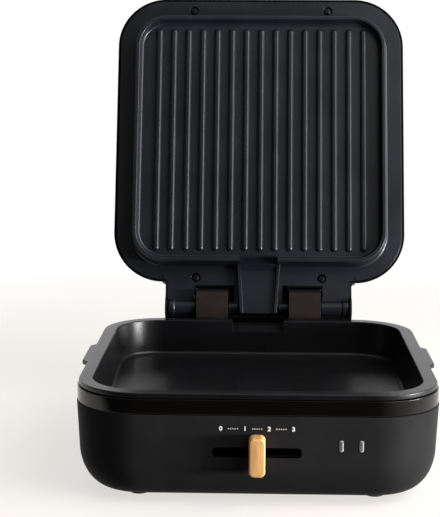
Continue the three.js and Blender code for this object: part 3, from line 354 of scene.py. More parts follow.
def piece(name, mesh, material, body, replaces=(), flat_above=32):
    """A finished piece of the grill that rides on a body."""
    mesh.materials.clear()
    mesh.materials.append(material)
    mesh.polygons.foreach_set("use_smooth", [True] * len(mesh.polygons))
    mesh.set_sharp_from_angle(angle=math.radians(flat_above))
    mesh = shaped(mesh, "WEIGHTED_NORMAL", keep_sharp=True, weight=80)
    mesh.name = name
    made = bpy.data.objects.new(name, mesh)
    bpy.context.scene.collection.objects.link(made)
    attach(made, body)
    if replaces:
        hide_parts(*replaces)
    return made


def surface(name, settings):
    """A material whose shader settings come from a function of its node tree."""
    material = bpy.data.materials.new(name)
    material.use_nodes = True
    tree = Tree(material.node_tree)
    shader = tree.add("ShaderNodeBsdfPrincipled", None, settings(tree))
    tree.add("ShaderNodeOutputMaterial", None, {"Surface": shader})
    return material


def object_place(tree, stretch=(1.0, 1.0, 1.0)):
    place = tree.add("ShaderNodeTexCoord", output="Object")
    return tree.add("ShaderNodeMapping", None, {"Vector": place, "Scale": stretch})


def noise(tree, place, grain, detail=3.0):
    """Even noise whose lumps are about one grain across."""
    return tree.add("ShaderNodeTexNoise", None, {"Vector": place, "Scale": 1 / grain, "Detail": detail})


# Near-black painted shade, laid into a moulding's colour by its edge mask.
PAINTED_SHADE_BLACK = tone(2, 2, 2)


def moulding(name, colour, lighter, roughness, gloss, grain=0.7 * MM, depth=0.05 * MM, edge=None,
             cloud_size=28 * MM):
    """Moulded plastic with a fine skin, a slight cloudiness and, where asked, painted shade: near-black
    where the edge mask says.
    """
    def settings(tree):
        place = object_place(tree)
        cloud = noise(tree, place, cloud_size)
        skin = noise(tree, place, grain, 4.0)
        bump = tree.add("ShaderNodeBump", None, {"Strength": 0.35, "Distance": depth, "Height": skin})
        shade = tree.mixed(cloud.above(0.3, 0.7) * 0.6 + skin * 0.4, colour, lighter)
        return {
            "Base Color": tree.mixed(edge(tree, place), shade, PAINTED_SHADE_BLACK) if edge else shade,
            "Roughness": roughness + (skin - 0.5) * 0.16 + (cloud - 0.5) * 0.1,
            "Specular IOR Level": gloss,
            "Normal": bump,
        }
    return surface(name, settings)


cover_plastic = moulding("cover_plastic", tone(19, 19, 21), tone(25, 25, 27), 0.46, 0.3)
housing_plastic = moulding("housing_plastic", tone(34, 34, 35), tone(41, 41, 42), 0.5, 0.02)

band_low, band_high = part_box("trim_band")
HOME = Vector((0, (band_low.y + band_high.y) / 2, 0))
HOUSING_SIZE = 300 * MM
HOUSING_CORNER = 55 * MM
HOUSING = {"width": HOUSING_SIZE, "depth": HOUSING_SIZE, "corner": HOUSING_CORNER, "middle": HOME.y}
HOUSING_TOP = 77.5 * MM
HOUSING_UNDERSIDE = 6 * MM
HOUSING_WALL = 3 * MM
HOUSING_DRAFT = 1.8 * MM
HOUSING_EASE = 0.3 * MM
TUB_FLOOR = 4.5 * MM
LOWER_CURVE_IN = 24 * MM
LOWER_CURVE_UP = 35 * MM
COVER_LEDGE = 34 * MM
LEDGE_IN = 6.5 * MM
LEDGE_UNDER = 72.5 * MM
SLOT_LEVEL = 47.3 * MM
SLOT_LENGTH = 71.2 * MM
SLOT_HEIGHT = 8.4 * MM
SLOT_CORNER = 3.2 * MM
WINDOW_GAP = 0.35 * MM
LAMP_PLACES = [sum(c.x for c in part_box(f"indicator_lens_{side}")) / 2 for side in ("left", "right")]
LAMP_LEVEL = 53.5 * MM
LAMP_WIDTH = 4.4 * MM
LAMP_HEIGHT = 10.6 * MM
OVERRUN = 5 * MM

curve_top = HOUSING_UNDERSIDE + LOWER_CURVE_UP
curve_in = HOUSING_DRAFT + LOWER_CURVE_IN
wall_in = HOUSING_WALL + HOUSING_DRAFT
floor_top = HOUSING_UNDERSIDE + TUB_FLOOR
tub = around([
    (HOUSING_EASE, HOUSING_TOP),
    (0, HOUSING_TOP - HOUSING_EASE),
    *bend((HOUSING_DRAFT, curve_top), (HOUSING_DRAFT, HOUSING_UNDERSIDE),
          (curve_in, HOUSING_UNDERSIDE), 20),
    (COVER_LEDGE, HOUSING_UNDERSIDE),
    (COVER_LEDGE, floor_top),
    *bend((curve_in, floor_top), (wall_in, floor_top), (wall_in, curve_top), 10),
    (HOUSING_WALL, LEDGE_UNDER),
    (LEDGE_IN, LEDGE_UNDER),
    (LEDGE_IN, LEDGE_UNDER + HOUSING_WALL),
    (HOUSING_WALL, LEDGE_UNDER + HOUSING_WALL),
    (HOUSING_WALL, HOUSING_TOP),
], HOUSING, loop=True)

block_low, block_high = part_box("base_housing")
BLOCK_REAR = block_high.y
BLOCK_TOP = block_high.z
BLOCK_FRONT = HOME.y + HOUSING_SIZE / 2 - HOUSING_WALL / 2
BLOCK_WIDTH = 192 * MM
BLOCK_CORNER = 14 * MM
BLOCK_UNDERSIDE = 30 * MM
BLOCK_CURVE_IN = 9 * MM
BLOCK_CURVE_UP = 18 * MM
BLOCK_EDGE = 2.5 * MM
BAND_CLEARANCE = 0.2 * MM
BLOCK = {
    "width": BLOCK_WIDTH,
    "depth": BLOCK_REAR - BLOCK_FRONT + BLOCK_CORNER,
    "corner": BLOCK_CORNER,
    "middle": (BLOCK_REAR + BLOCK_FRONT - BLOCK_CORNER) / 2,
}
hinge_block = around([
    *bend((BLOCK_CURVE_IN, BLOCK_UNDERSIDE), (0, BLOCK_UNDERSIDE),
          (0, BLOCK_UNDERSIDE + BLOCK_CURVE_UP), 8),
    *bend((0, BLOCK_TOP - BLOCK_EDGE), (0, BLOCK_TOP), (BLOCK_EDGE, BLOCK_TOP), 6),
], BLOCK, steps=10)
front_of_block = block((-BLOCK_WIDTH, HOME.y, 0), (BLOCK_WIDTH, BLOCK_FRONT, BLOCK_TOP * 2))
beside_band = around([(-BAND_CLEARANCE, HOUSING_TOP), (-BAND_CLEARANCE, BLOCK_TOP * 2)], HOUSING)
hinge_block = carved(hinge_block, front_of_block)
hinge_block = carved(hinge_block, beside_band)


def pill(width, height, corner, middle_x, level, steps=8):
    """The outline of a rounded slot, as x and level."""
    plan = {"width": width, "depth": height, "corner": corner, "middle": level}
    return [(x + middle_x, y) for x, y, _ in ring(plan, 0, 0, steps)]


front_face = HOME.y - HOUSING_SIZE / 2
window_width = LAMP_WIDTH + 2 * WINDOW_GAP
window_height = LAMP_HEIGHT + 2 * WINDOW_GAP
cuts = [pill(SLOT_LENGTH, SLOT_HEIGHT, SLOT_CORNER, 0, SLOT_LEVEL)]
cuts += [pill(window_width, window_height, window_width / 2 - HAIR, x, LAMP_LEVEL) for x in LAMP_PLACES]
tub = carved(tub, *[pushed(cut, 1, front_face - OVERRUN, front_face + wall_in + OVERRUN) for cut in cuts])

INLET_LEVEL = 58 * MM
INLET_WIDTH = 30 * MM
INLET_HEIGHT = 22 * MM
INLET_CORNER = 5 * MM
INLET_GAP = 0.3 * MM
INLET_DEPTH = 30 * MM
inlet_hole = pill(INLET_WIDTH + 2 * INLET_GAP, INLET_HEIGHT + 2 * INLET_GAP, INLET_CORNER + INLET_GAP,
                  0, INLET_LEVEL)
hinge_block = carved(hinge_block, pushed(inlet_hole, 1, BLOCK_REAR - INLET_DEPTH, BLOCK_REAR + OVERRUN))

CUT_SKIN = 0.3 * MM
CUT_START = 0.5 * MM
CUT_DEPTH = 8 * MM
CUT_MARGIN = 4 * MM
CUT_FADE = 1 * MM


def cut_edges(tree, place):
    """Painted shade: near-black through the front wall's thickness, at the slot and the windows."""
    deep, across, level = (tree.axis(place, name) for name in "YXZ")
    start, end = front_face + HOUSING_DRAFT + CUT_SKIN, front_face + CUT_DEPTH
    within = deep.above(start, start + CUT_START) * (1 - deep.above(end, end + CUT_FADE))
    reach = LAMP_PLACES[1] + CUT_MARGIN
    beside = (across - reach).above(0, CUT_FADE) + (0 - across - reach).above(0, CUT_FADE)
    return within * (1 - beside) * level.above(curve_top, curve_top + CUT_FADE)


# The tub's colour is painted near-black inside the slot and window cuts, as shade.
tub_plastic = moulding("tub_plastic", tone(33, 33, 34), tone(40, 40, 41), 0.5, 0.02, edge=cut_edges)
# The hinge block's darker colour is painted shade.
lid_shaded_block_plastic = moulding("lid_shaded_block_plastic", tone(16, 16, 17), tone(21, 21, 22), 0.55, 0.0)
# Near-black matt plastic that stands in for shade: painted shade on the cover's rim strip, the post notches
# and the slide behind the slot.
shade_black_plastic = moulding("shade_black_plastic", tone(9, 9, 10), tone(13, 13, 14), 0.6, 0.0)
piece("housing_tub", tub, tub_plastic, "base", ["base_housing"])
hinge_block = softened(hinge_block, HOUSING_EASE)
piece("housing_hinge_block", hinge_block, lid_shaded_block_plastic, "base", ["base_housing"])

# Trim band
# A separate glossy black ring of moulded plastic that stands on the housing's edge under the pan's rim.
# Its polish makes it darker and more mirror-like than the tub below it.
band_gloss = moulding("band_gloss", tone(8, 7, 6), tone(11, 9, 8), 0.1, 0.38, grain=3 * MM, depth=0.01 * MM)
BAND_IN = 0.5 * MM
BAND_TOP = band_high.z
BAND_BOTTOM = HOUSING_TOP + 0.5 * MM
BAND_WIDTH = 5.5 * MM
BAND_THICKNESS = 3 * MM
BAND_EDGE = 0.5 * MM
BAND_FOOT_IN = 1.2 * MM
BAND_FOOT_UP = 0.8 * MM
TONGUE_IN = BAND_IN + 2.9 * MM
TONGUE_WIDTH = 1.2 * MM
band = around([
    *bend((BAND_IN + BAND_FOOT_IN, BAND_BOTTOM), (BAND_IN, BAND_BOTTOM),
          (BAND_IN, BAND_BOTTOM + BAND_FOOT_UP), 3),
    *bend((BAND_IN, BAND_TOP - BAND_EDGE), (BAND_IN, BAND_TOP), (BAND_IN + BAND_EDGE, BAND_TOP), 6),
    (BAND_IN + BAND_WIDTH, BAND_TOP),
    (BAND_IN + BAND_WIDTH, BAND_TOP - BAND_THICKNESS),
    (TONGUE_IN + TONGUE_WIDTH, BAND_TOP - BAND_THICKNESS),
    (TONGUE_IN + TONGUE_WIDTH, band_low.z),
    (TONGUE_IN, band_low.z),
    (TONGUE_IN, BAND_BOTTOM),
], HOUSING, loop=True)
NOTCH_WIDTH = 51 * MM
NOTCH_DEPTH = 10.5 * MM
NOTCH_LIP = 3 * MM
NOTCH_GAP = 0.7 * MM
NOTCH_DROP = 0.3 * MM
NOTCH_FRONT = HOME.y + 138 * MM
NOTCH_REAR = HOME.y + 155 * MM
notch_room = NOTCH_WIDTH / 2 + NOTCH_LIP + NOTCH_GAP
pan_low, pan_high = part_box("cooking_pan")
RIM_TOP = pan_high.z
band_notch = block((-notch_room, NOTCH_FRONT, RIM_TOP - NOTCH_DEPTH - NOTCH_LIP - NOTCH_DROP),
                   (notch_room, NOTCH_REAR, BAND_TOP * 2))
band = carved(band, band_notch)
piece("trim_ring", band, band_gloss, "base", ["trim_band"])


# Cooking pan
# A deep square pan cast in aluminium and sprayed with a dark satin non-stick coat.
# Its flat rim hangs on the band, with a lifting tab on each side and a draining notch at the back.
def coating(name, colour, lighter, roughness, gloss, pebble=0.9 * MM, patch=45 * MM, speck=1.6 * MM,
            depth=0.09 * MM):
    """Sprayed non-stick coat: a fine pebbled skin with tiny pale specks."""
    def settings(tree):
        place = object_place(tree)
        pebbles = noise(tree, place, pebble, 3.0)
        patches = noise(tree, place, patch, 2.0)
        specks = noise(tree, place, speck, 1.0).above(0.62, 0.8)
        bump = tree.add("ShaderNodeBump", None, {"Strength": 0.5, "Distance": depth, "Height": pebbles})
        return {
            "Base Color": tree.mixed(specks * 0.6 + patches.above(0.3, 0.7) * 0.4, colour, lighter),
            "Roughness": roughness + (pebbles - 0.5) * 0.2 + (patches - 0.5) * 0.08,
            "Specular IOR Level": gloss,
            "Normal": bump,
        }
    return surface(name, settings)


pan_coat = coating("pan_coat", tone(12, 12, 14), tone(20, 20, 23), 0.3, 0.38)
PAN_SIZE = 296.7 * MM
PAN_CORNER = 54.7 * MM
PAN = {"width": PAN_SIZE, "depth": PAN_SIZE, "corner": PAN_CORNER, "middle": HOME.y}
RIM_WIDTH = 12 * MM
RIM_THICKNESS = 4.5 * MM
PAN_WALL = 3.6 * MM
PAN_DRAFT = 3.2 * MM
PAN_FLOOR = 4 * MM
PAN_FLOOR_ROUND = 3.6 * MM
RIM_ROUND = 1.0 * MM
RIM_UNDER_ROUND = 0.9 * MM
rim_under = RIM_TOP - RIM_THICKNESS
floor_level = pan_low.z + PAN_FLOOR
wall_foot = RIM_WIDTH + PAN_DRAFT
outer_foot = wall_foot - PAN_WALL
outer_round = PAN_FLOOR_ROUND + PAN_FLOOR
pan = around([
    *bend((outer_foot + outer_round, pan_low.z), (outer_foot, pan_low.z),
          (outer_foot, pan_low.z + outer_round), 8),
    (RIM_WIDTH - PAN_WALL, rim_under),
    *bend((RIM_UNDER_ROUND, rim_under), (0, rim_under), (0, rim_under + RIM_UNDER_ROUND), 3),
    *bend((0, RIM_TOP - RIM_ROUND), (0, RIM_TOP), (RIM_ROUND, RIM_TOP), 5),
    *bend((RIM_WIDTH - RIM_ROUND, RIM_TOP), (RIM_WIDTH, RIM_TOP), (RIM_WIDTH, RIM_TOP - RIM_ROUND), 5),
    *bend((wall_foot, floor_level + PAN_FLOOR_ROUND), (wall_foot, floor_level),
          (wall_foot + PAN_FLOOR_ROUND, floor_level), 12),
], PAN, steps=24)
TAB_REACH = pan_high.x - PAN_SIZE / 2
TAB_LENGTH = 57 * MM
TAB_SLOPE = 7 * MM
TAB_BACK = -7 * MM
TAB_THICKNESS = 4 * MM
TAB_DROP = 0.3 * MM
TAB_ROUND = 0.8 * MM
tabs = []
for side in (-1, 1):
    edge, reach = side * PAN_SIZE / 2, side * TAB_REACH
    root = edge - side * RIM_WIDTH / 2
    near, far = HOME.y + TAB_BACK - TAB_LENGTH / 2, HOME.y + TAB_BACK + TAB_LENGTH / 2
    outline = [(root, near - TAB_SLOPE), (edge, near - TAB_SLOPE), (edge + reach, near),
               (edge + reach, far), (edge, far + TAB_SLOPE), (root, far + TAB_SLOPE)]
    tab = pushed(outline, 2, RIM_TOP - TAB_THICKNESS - TAB_DROP, RIM_TOP - TAB_DROP)
    tabs.append(softened(tab, TAB_ROUND, 3, 20))
NOTCH_RISE = 4.2 * MM
NOTCH_ROUND = 1.2 * MM
NOTCH_TUCK = 1.1 * MM
pan_back = PAN_SIZE / 2
notch_start = RIM_TOP - NOTCH_DEPTH
notch_slope = NOTCH_RISE / RIM_WIDTH


def notch_floor(back):
    return notch_start + notch_slope * (back - pan_back + RIM_WIDTH)


near, far = pan_back - RIM_WIDTH + PAN_WALL / 2, pan_back - NOTCH_TUCK
trough = pushed([
    (HOME.y + near, notch_floor(near) - NOTCH_LIP),
    (HOME.y + far, notch_floor(far) - NOTCH_LIP),
    (HOME.y + far, rim_under + NOTCH_TUCK),
    (HOME.y + near, rim_under + NOTCH_TUCK),
], 0, -NOTCH_WIDTH / 2 - NOTCH_LIP, NOTCH_WIDTH / 2 + NOTCH_LIP)
near, far = pan_back - RIM_WIDTH - OVERRUN, pan_back + OVERRUN
notch = pushed([
    (HOME.y + near, notch_floor(near)),
    (HOME.y + far, notch_floor(far)),
    (HOME.y + far, RIM_TOP + OVERRUN),
    (HOME.y + near, RIM_TOP + OVERRUN),
], 0, -NOTCH_WIDTH / 2, NOTCH_WIDTH / 2)
pan = carved(fused(pan, *tabs, trough), softened(notch, NOTCH_ROUND, 4, 80))
piece("pan_casting", pan, pan_coat, "pan", ["cooking_pan"])

# Heat slider
# A knob cut from pale wood, pushed on a steel stem that runs in the slot.
# Its edges are sanded round and the grain runs along its length.
WOOD_TONE = tone(216, 162, 102)
WOOD_PALE = tone(231, 181, 121)
WOOD_FIBRE = tone(204, 140, 80)


def wood(name, along, fibre=0.7 * MM, band=4 * MM, depth=0.08 * MM):
    """Pale beech: long fine fibres and slow changes of tone along one axis, under a thin matt varnish."""
    def settings(tree):
        stretch = tuple(0.06 if i == along else 1.0 for i in range(3))
        fibres = noise(tree, object_place(tree, stretch), fibre, 5.0)
        figure = noise(tree, object_place(tree, stretch), band, 3.0)
        bump = tree.add("ShaderNodeBump", None, {"Strength": 0.25, "Distance": depth, "Height": fibres})
        pale = tree.mixed(figure.above(0.3, 0.7), WOOD_TONE, WOOD_PALE)
        return {
            "Base Color": tree.mixed(fibres.above(0.35, 0.72) * 0.55, pale, WOOD_FIBRE),
            "Roughness": 0.42 + fibres * 0.2,
            "Specular IOR Level": 0.4,
            "Normal": bump,
        }
    return surface(name, settings)


knob_low, knob_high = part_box("slider_knob")
knob_wood = wood("knob_wood", 2)
KNOB_CORNER = 4 * MM
KNOB = {
    "width": knob_high.x - knob_low.x,
    "depth": knob_high.z - knob_low.z,
    "corner": KNOB_CORNER,
    "middle": 0,
}
KNOB_DEPTH = knob_high.y - knob_low.y
KNOB_ROUND = 1.9 * MM
KNOB_BACK_ROUND = 0.8 * MM
KNOB_CROWN = 0.25 * MM
CROWN_SHARE = 0.42
FACING_FRONT = Matrix.Rotation(math.radians(90), 4, "X")
knob = around([
    *bend((KNOB_BACK_ROUND, 0), (0, 0), (0, KNOB_BACK_ROUND), 3),
    *bend((0, KNOB_DEPTH - KNOB_ROUND), (0, KNOB_DEPTH), (KNOB_ROUND, KNOB_DEPTH - KNOB_CROWN), 8),
    (KNOB["width"] * CROWN_SHARE, KNOB_DEPTH),
], KNOB, steps=10)
knob.transform(Matrix.Translation((0, knob_high.y, (knob_low.z + knob_high.z) / 2)) @ FACING_FRONT)
piece("wooden_knob", knob, knob_wood, "slider", ["slider_knob"], flat_above=50)

# Scale of the slider
# Plain numbers for the four heat steps, with a row of dots between each two, printed in pale ink.
# The print stands a hair proud of the housing's leaning front wall.
LEGEND_LEVEL = 67.2 * MM
LEGEND_PITCH = 19.3 * MM
DIGIT_HEIGHT = 3.6 * MM
TYPE_PER_HEIGHT = 1.38
STROKE_GROWTH = 0.2 * MM
INK_THICKNESS = 0.05 * MM
HEAT_STEPS = 4
DOT_RADIUS = 0.45 * MM
DOT_PITCH = 1.8 * MM
DOT_COUNT = 5
INK_WEAR = 0.5 * MM


def ink_settings(tree):
    wear = noise(tree, object_place(tree), INK_WEAR)
    worn = wear.above(0.35, 0.75) * 0.5
    return {"Base Color": tree.mixed(worn, tone(246, 245, 243), tone(222, 221, 218)),
            "Roughness": 0.5 + wear * 0.2}


pale_ink = surface("pale_ink", ink_settings)


def front_at(level):
    """How far forward the housing's front wall stands at a level."""
    return front_face + HOUSING_DRAFT * (HOUSING_TOP - level) / (HOUSING_TOP - curve_top)


wall_lean = math.atan(HOUSING_DRAFT / (HOUSING_TOP - curve_top))
on_front = (Matrix.Translation((0, front_at(LEGEND_LEVEL) - INK_THICKNESS / 2, LEGEND_LEVEL))
            @ Matrix.Rotation(math.radians(90) + wall_lean, 4, "X"))
prints = []
for step in range(HEAT_STEPS):
    text = bpy.data.curves.new(f"step_{step}", "FONT")
    text.body = str(step)
    text.size = DIGIT_HEIGHT * TYPE_PER_HEIGHT
    text.align_x = "CENTER"
    text.align_y = "CENTER"
    text.extrude = INK_THICKNESS / 2
    text.offset = STROKE_GROWTH
    holder = bpy.data.objects.new("number", text)
    bpy.context.scene.collection.objects.link(holder)
    graph = bpy.context.evaluated_depsgraph_get()
    number = bpy.data.meshes.new_from_object(holder.evaluated_get(graph))
    bpy.data.objects.remove(holder)
    number.transform(on_front @ Matrix.Translation(((step - (HEAT_STEPS - 1) / 2) * LEGEND_PITCH, 0, 0)))
    prints.append(number)


def repeater(name, inputs, build):
    """A tree that lays copies of a unit, makes them real and gives them their material."""
    group = bpy.data.node_groups.new(name, "GeometryNodeTree")
    group.interface.new_socket("Geometry", in_out="INPUT", socket_type="NodeSocketGeometry")
    group.interface.new_socket("Geometry", in_out="OUTPUT", socket_type="NodeSocketGeometry")
    for label, kind in (("Unit", "NodeSocketObject"), ("Material", "NodeSocketMaterial"), *inputs):
        group.interface.new_socket(label, in_out="INPUT", socket_type=kind)
    nodes, links = group.nodes, group.links
    given = nodes.new("NodeGroupInput")
    points = build(nodes, links, given)
    unit = nodes.new("GeometryNodeObjectInfo")
    links.new(given.outputs["Unit"], unit.inputs["Object"])
    laid = nodes.new("GeometryNodeInstanceOnPoints")
    links.new(points, laid.inputs["Points"])
    links.new(unit.outputs["Geometry"], laid.inputs["Instance"])
    real = nodes.new("GeometryNodeRealizeInstances")
    links.new(laid.outputs["Instances"], real.inputs["Geometry"])
    painted = nodes.new("GeometryNodeSetMaterial")
    links.new(real.outputs["Geometry"], painted.inputs["Geometry"])
    links.new(given.outputs["Material"], painted.inputs["Material"])
    links.new(painted.outputs["Geometry"], nodes.new("NodeGroupOutput").inputs["Geometry"])
    return group


def row_points(nodes, links, given):
    """Points in a straight row, centred on the origin."""
    line = nodes.new("GeometryNodeMeshLine")
    links.new(given.outputs["Count"], line.inputs["Count"])
    links.new(given.outputs["Pitch"], line.inputs["Offset"])
    links.new(given.outputs["Start"], line.inputs["Start Location"])
    return line.outputs["Mesh"]


row_tree = repeater("row_of_units", [("Count", "NodeSocketInt"), ("Pitch", "NodeSocketVector"),
                                     ("Start", "NodeSocketVector")], row_points)
place_tree = repeater("units_at_places", [], lambda nodes, links, given: given.outputs["Geometry"])


def laid_out(tree, points, unit, material, **sizes):
    """The unit repeated by a tree, as a plain mesh."""
    copy = bpy.data.objects.new("unit", unit)
    base = bpy.data.objects.new("places", points)
    for holder in (copy, base):
        bpy.context.scene.collection.objects.link(holder)
    modifier = base.modifiers.new("repeat", "NODES")
    modifier.node_group = tree
    inputs = [item for item in tree.interface.items_tree if item.in_out == "INPUT"]
    sockets = {item.name: item.identifier for item in inputs}
    for name, setting in (("Unit", copy), ("Material", material), *sizes.items()):
        modifier[sockets[name]] = setting
    graph = bpy.context.evaluated_depsgraph_get()
    result = bpy.data.meshes.new_from_object(base.evaluated_get(graph))
    base.modifiers.clear()
    bpy.data.objects.remove(base)
    bpy.data.objects.remove(copy)
    return result


def row(unit, count, pitch, material):
    """Copies of a unit in a straight row, centred on the origin."""
    start = -0.5 * (count - 1) * Vector(pitch)
    return laid_out(row_tree, bpy.data.meshes.new("row"), unit, material, Count=count,
                    Pitch=tuple(pitch), Start=tuple(start))


dot = rod(DOT_RADIUS, 2, -INK_THICKNESS / 2, INK_THICKNESS / 2, (0, 0), 10)
for gap in range(HEAT_STEPS - 1):
    dots = row(dot, DOT_COUNT, (DOT_PITCH, 0, 0), pale_ink)
    dots.transform(on_front @ Matrix.Translation(((gap + 1 - HEAT_STEPS / 2) * LEGEND_PITCH, 0, 0)))
    prints.append(dots)
piece("slider_scale", joined(*prints), pale_ink, "base")

# Indicator windows
# Two upright lenses of milky plastic pressed into the front wall, with a small lamp behind each.
# Unlit they look pale grey, with a darker core where the lamp sits.
MILK_GRAIN = 0.8 * MM


def lens_settings(tree):
    milk = noise(tree, object_place(tree), MILK_GRAIN)
    return {"Base Color": tree.mixed(milk.above(0.35, 0.65), tone(142, 141, 139), tone(166, 165, 163)),
            "Roughness": 0.28 + milk * 0.15,
            "Coat Weight": 0.4}


lens_plastic = surface("lens_plastic", lens_settings)
core_plastic = moulding("core_plastic", tone(84, 83, 82), tone(104, 103, 101), 0.4, 0.3)
CORE_WIDTH = 1.5 * MM
CORE_HEIGHT = 7.4 * MM
CORE_PROUD = 0.06 * MM
CORE_DEPTH = 0.4 * MM
CROWN_IN = 1.4 * MM
CROWN_UP = 0.7 * MM
for x, side in zip(LAMP_PLACES, ("left", "right")):
    low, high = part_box(f"indicator_lens_{side}")
    width, height, depth = high.x - low.x, high.z - low.z, high.y - low.y
    plan = {"width": width, "depth": height, "corner": width / 2 - HAIR, "middle": 0}
    dome = around([
        (0, 0),
        *bend((0, depth - CROWN_UP), (0, depth), (CROWN_IN, depth), 6),
    ], plan, steps=10)
    dome.transform(Matrix.Translation((x, high.y, LAMP_LEVEL)) @ FACING_FRONT)
    piece(f"lens_{side}", dome, lens_plastic, "base", [f"indicator_lens_{side}"])
    core = pushed(pill(CORE_WIDTH, CORE_HEIGHT, CORE_WIDTH / 2 - HAIR, x, LAMP_LEVEL), 1,
                  low.y - CORE_PROUD, low.y + CORE_DEPTH)
    piece(f"lens_core_{side}", core, core_plastic, "base")

# Feet and bottom cover
# Four rubber feet are pushed through the moulded cover, which closes the tub from below.
# The cover has two fields of long vents and is held by four screws in the tub's bosses.
DUST_GRAIN = 1.5 * MM
DUST_DEPTH = 0.05 * MM


def rubber_settings(tree):
    dust = noise(tree, object_place(tree), DUST_GRAIN)
    bump = tree.add("ShaderNodeBump", None, {"Strength": 0.3, "Distance": DUST_DEPTH, "Height": dust})
    return {"Base Color": tree.mixed(dust.above(0.4, 0.8), tone(20, 20, 20), tone(34, 34, 34)),
            "Roughness": 0.8 + dust * 0.15,
            "Specular IOR Level": 0.25,
            "Normal": bump}


foot_rubber = surface("foot_rubber", rubber_settings)
FOOT_EDGE = 1.2 * MM
FOOT_EASE = 0.3 * MM
FOOT_EASE_UP = 0.35 * MM
FOOT_TAPER = 0.5 * MM
SHOULDER_EASE = 0.4 * MM
STEM_RADIUS = 3 * MM
STEM_LENGTH = 2.9 * MM
BARB_RADIUS = 4.4 * MM
BARB_TAPER = 0.8 * MM
BARB_TIP = 1 * MM


def turned(profile, sides=40):
    """A mesh turned about the upright axis from points of radius and level."""
    rings = [[(radius * math.cos(i / sides * math.tau), radius * math.sin(i / sides * math.tau), level)
              for i in range(sides)] for radius, level in profile]
    return lofted(rings)


for where in ("front_left", "front_right", "rear_left", "rear_right"):
    low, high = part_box(f"foot_{where}")
    radius = (high.x - low.x) / 2
    barb_level = HOUSING_UNDERSIDE + STEM_LENGTH
    foot = turned([
        (radius - FOOT_EDGE, 0),
        (radius - FOOT_EASE, FOOT_EASE_UP),
        (radius, FOOT_EDGE),
        (radius - FOOT_TAPER, HOUSING_UNDERSIDE - SHOULDER_EASE),
        (radius - FOOT_TAPER - SHOULDER_EASE, HOUSING_UNDERSIDE),
        (STEM_RADIUS, HOUSING_UNDERSIDE),
        (STEM_RADIUS, barb_level),
        (BARB_RADIUS, barb_level),
        (BARB_RADIUS - BARB_TAPER, high.z - FOOT_EASE),
        (BARB_RADIUS - BARB_TAPER - BARB_TIP, high.z),
    ])
    foot.transform(Matrix.Translation(((low.x + high.x) / 2, (low.y + high.y) / 2, 0)))
    piece(f"rubber_foot_{where}", foot, foot_rubber, "base", [f"foot_{where}"])

cover_low, cover_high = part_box("bottom_cover")
COVER_CORNER = 20.7 * MM
COVER_EDGE = 0.5 * MM
COVER_CUT = 20 * MM
COVER_SCREW_ASIDE = 110 * MM
COVER_SCREW_BACK = 62 * MM
COVER_HOLE_RADIUS = 2.1 * MM
VENT_LENGTH = 58 * MM
VENT_WIDTH = 4 * MM
VENT_ASIDE = 48 * MM
VENT_PITCH = 14 * MM
VENT_COUNT = 6
COVER = {
    "width": cover_high.x - cover_low.x,
    "depth": cover_high.y - cover_low.y,
    "corner": COVER_CORNER,
    "middle": HOME.y,
}
cover_plate = around([
    (COVER_EDGE, cover_low.z),
    (0, cover_low.z + COVER_EDGE),
    (0, cover_high.z),
], COVER, steps=12)
vents = []
for side in (-1, 1):
    vent_outline = pill(VENT_LENGTH, VENT_WIDTH, VENT_WIDTH / 2 - HAIR, side * VENT_ASIDE, 0)
    vent = pushed(vent_outline, 2, 0, COVER_CUT)
    vent_field = row(vent, VENT_COUNT, (0, VENT_PITCH, 0), housing_plastic)
    vent_field.transform(Matrix.Translation(HOME))
    vents.append(vent_field)
cover_screws = [(x * COVER_SCREW_ASIDE, HOME.y + y * COVER_SCREW_BACK) for x in (-1, 1) for y in (-1, 1)]
cover_holes = [rod(COVER_HOLE_RADIUS, 2, 0, COVER_CUT, place, 20) for place in cover_screws]
cover_plate = carved(cover_plate, *vents, *cover_holes)
piece("vented_cover", cover_plate, housing_plastic, "base", ["bottom_cover"])

# Hinge posts and pins
# Two brown-black posts stand on the hinge block, each held from below by two screws.
# The lid turns about a steel pin in each, and leans back on the posts' sloping edges when open.
post_plastic = moulding("post_plastic", tone(33, 28, 27), tone(41, 35, 33), 0.6, 0.0)
pin_low, pin_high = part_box("hinge_pin_left")
HINGE = Vector((0, (pin_low.y + pin_high.y) / 2, (pin_low.z + pin_high.z) / 2))
LEAN = math.radians(18)
OPEN_ANGLE = math.radians(90) + LEAN
opened = Matrix.Translation(HINGE) @ Matrix.Rotation(-OPEN_ANGLE, 4, "X")
POST_FRONT = 12.1 * MM
POST_BACK = 12.6 * MM
POST_CHAMFER = 4.5 * MM
POST_EDGE = 0.3 * MM
POST_PLAY = 0.35 * MM
STOP_REACH = 20.5 * MM
BORE_RADIUS = 3.4 * MM
stop_at_back = STOP_REACH / math.cos(LEAN) - math.tan(LEAN) * POST_BACK
for side in ("left", "right"):
    low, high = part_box(f"hinge_post_{side}")
    foot_level = low.z - HINGE.z
    top = high.z - HINGE.z
    outline = [
        (-POST_FRONT, foot_level),
        *bend((-POST_FRONT, top - POST_CHAMFER), (-POST_FRONT, top), (-POST_FRONT + POST_CHAMFER, top), 5),
        (POST_BACK - POST_CHAMFER, top),
        (POST_BACK, min(top - POST_CHAMFER / 2, stop_at_back)),
        (POST_BACK, foot_level),
    ]
    post = pushed(outline, 0, low.x - POST_PLAY, high.x + POST_PLAY)
    post.transform(Matrix.Translation(HINGE))
    bore = rod(BORE_RADIUS, 0, low.x - OVERRUN, high.x + OVERRUN, (HINGE.y, HINGE.z), 24)
    post = softened(carved(post, bore), POST_EDGE)
    piece(f"post_{side}", post, post_plastic, "base", [f"hinge_post_{side}"])

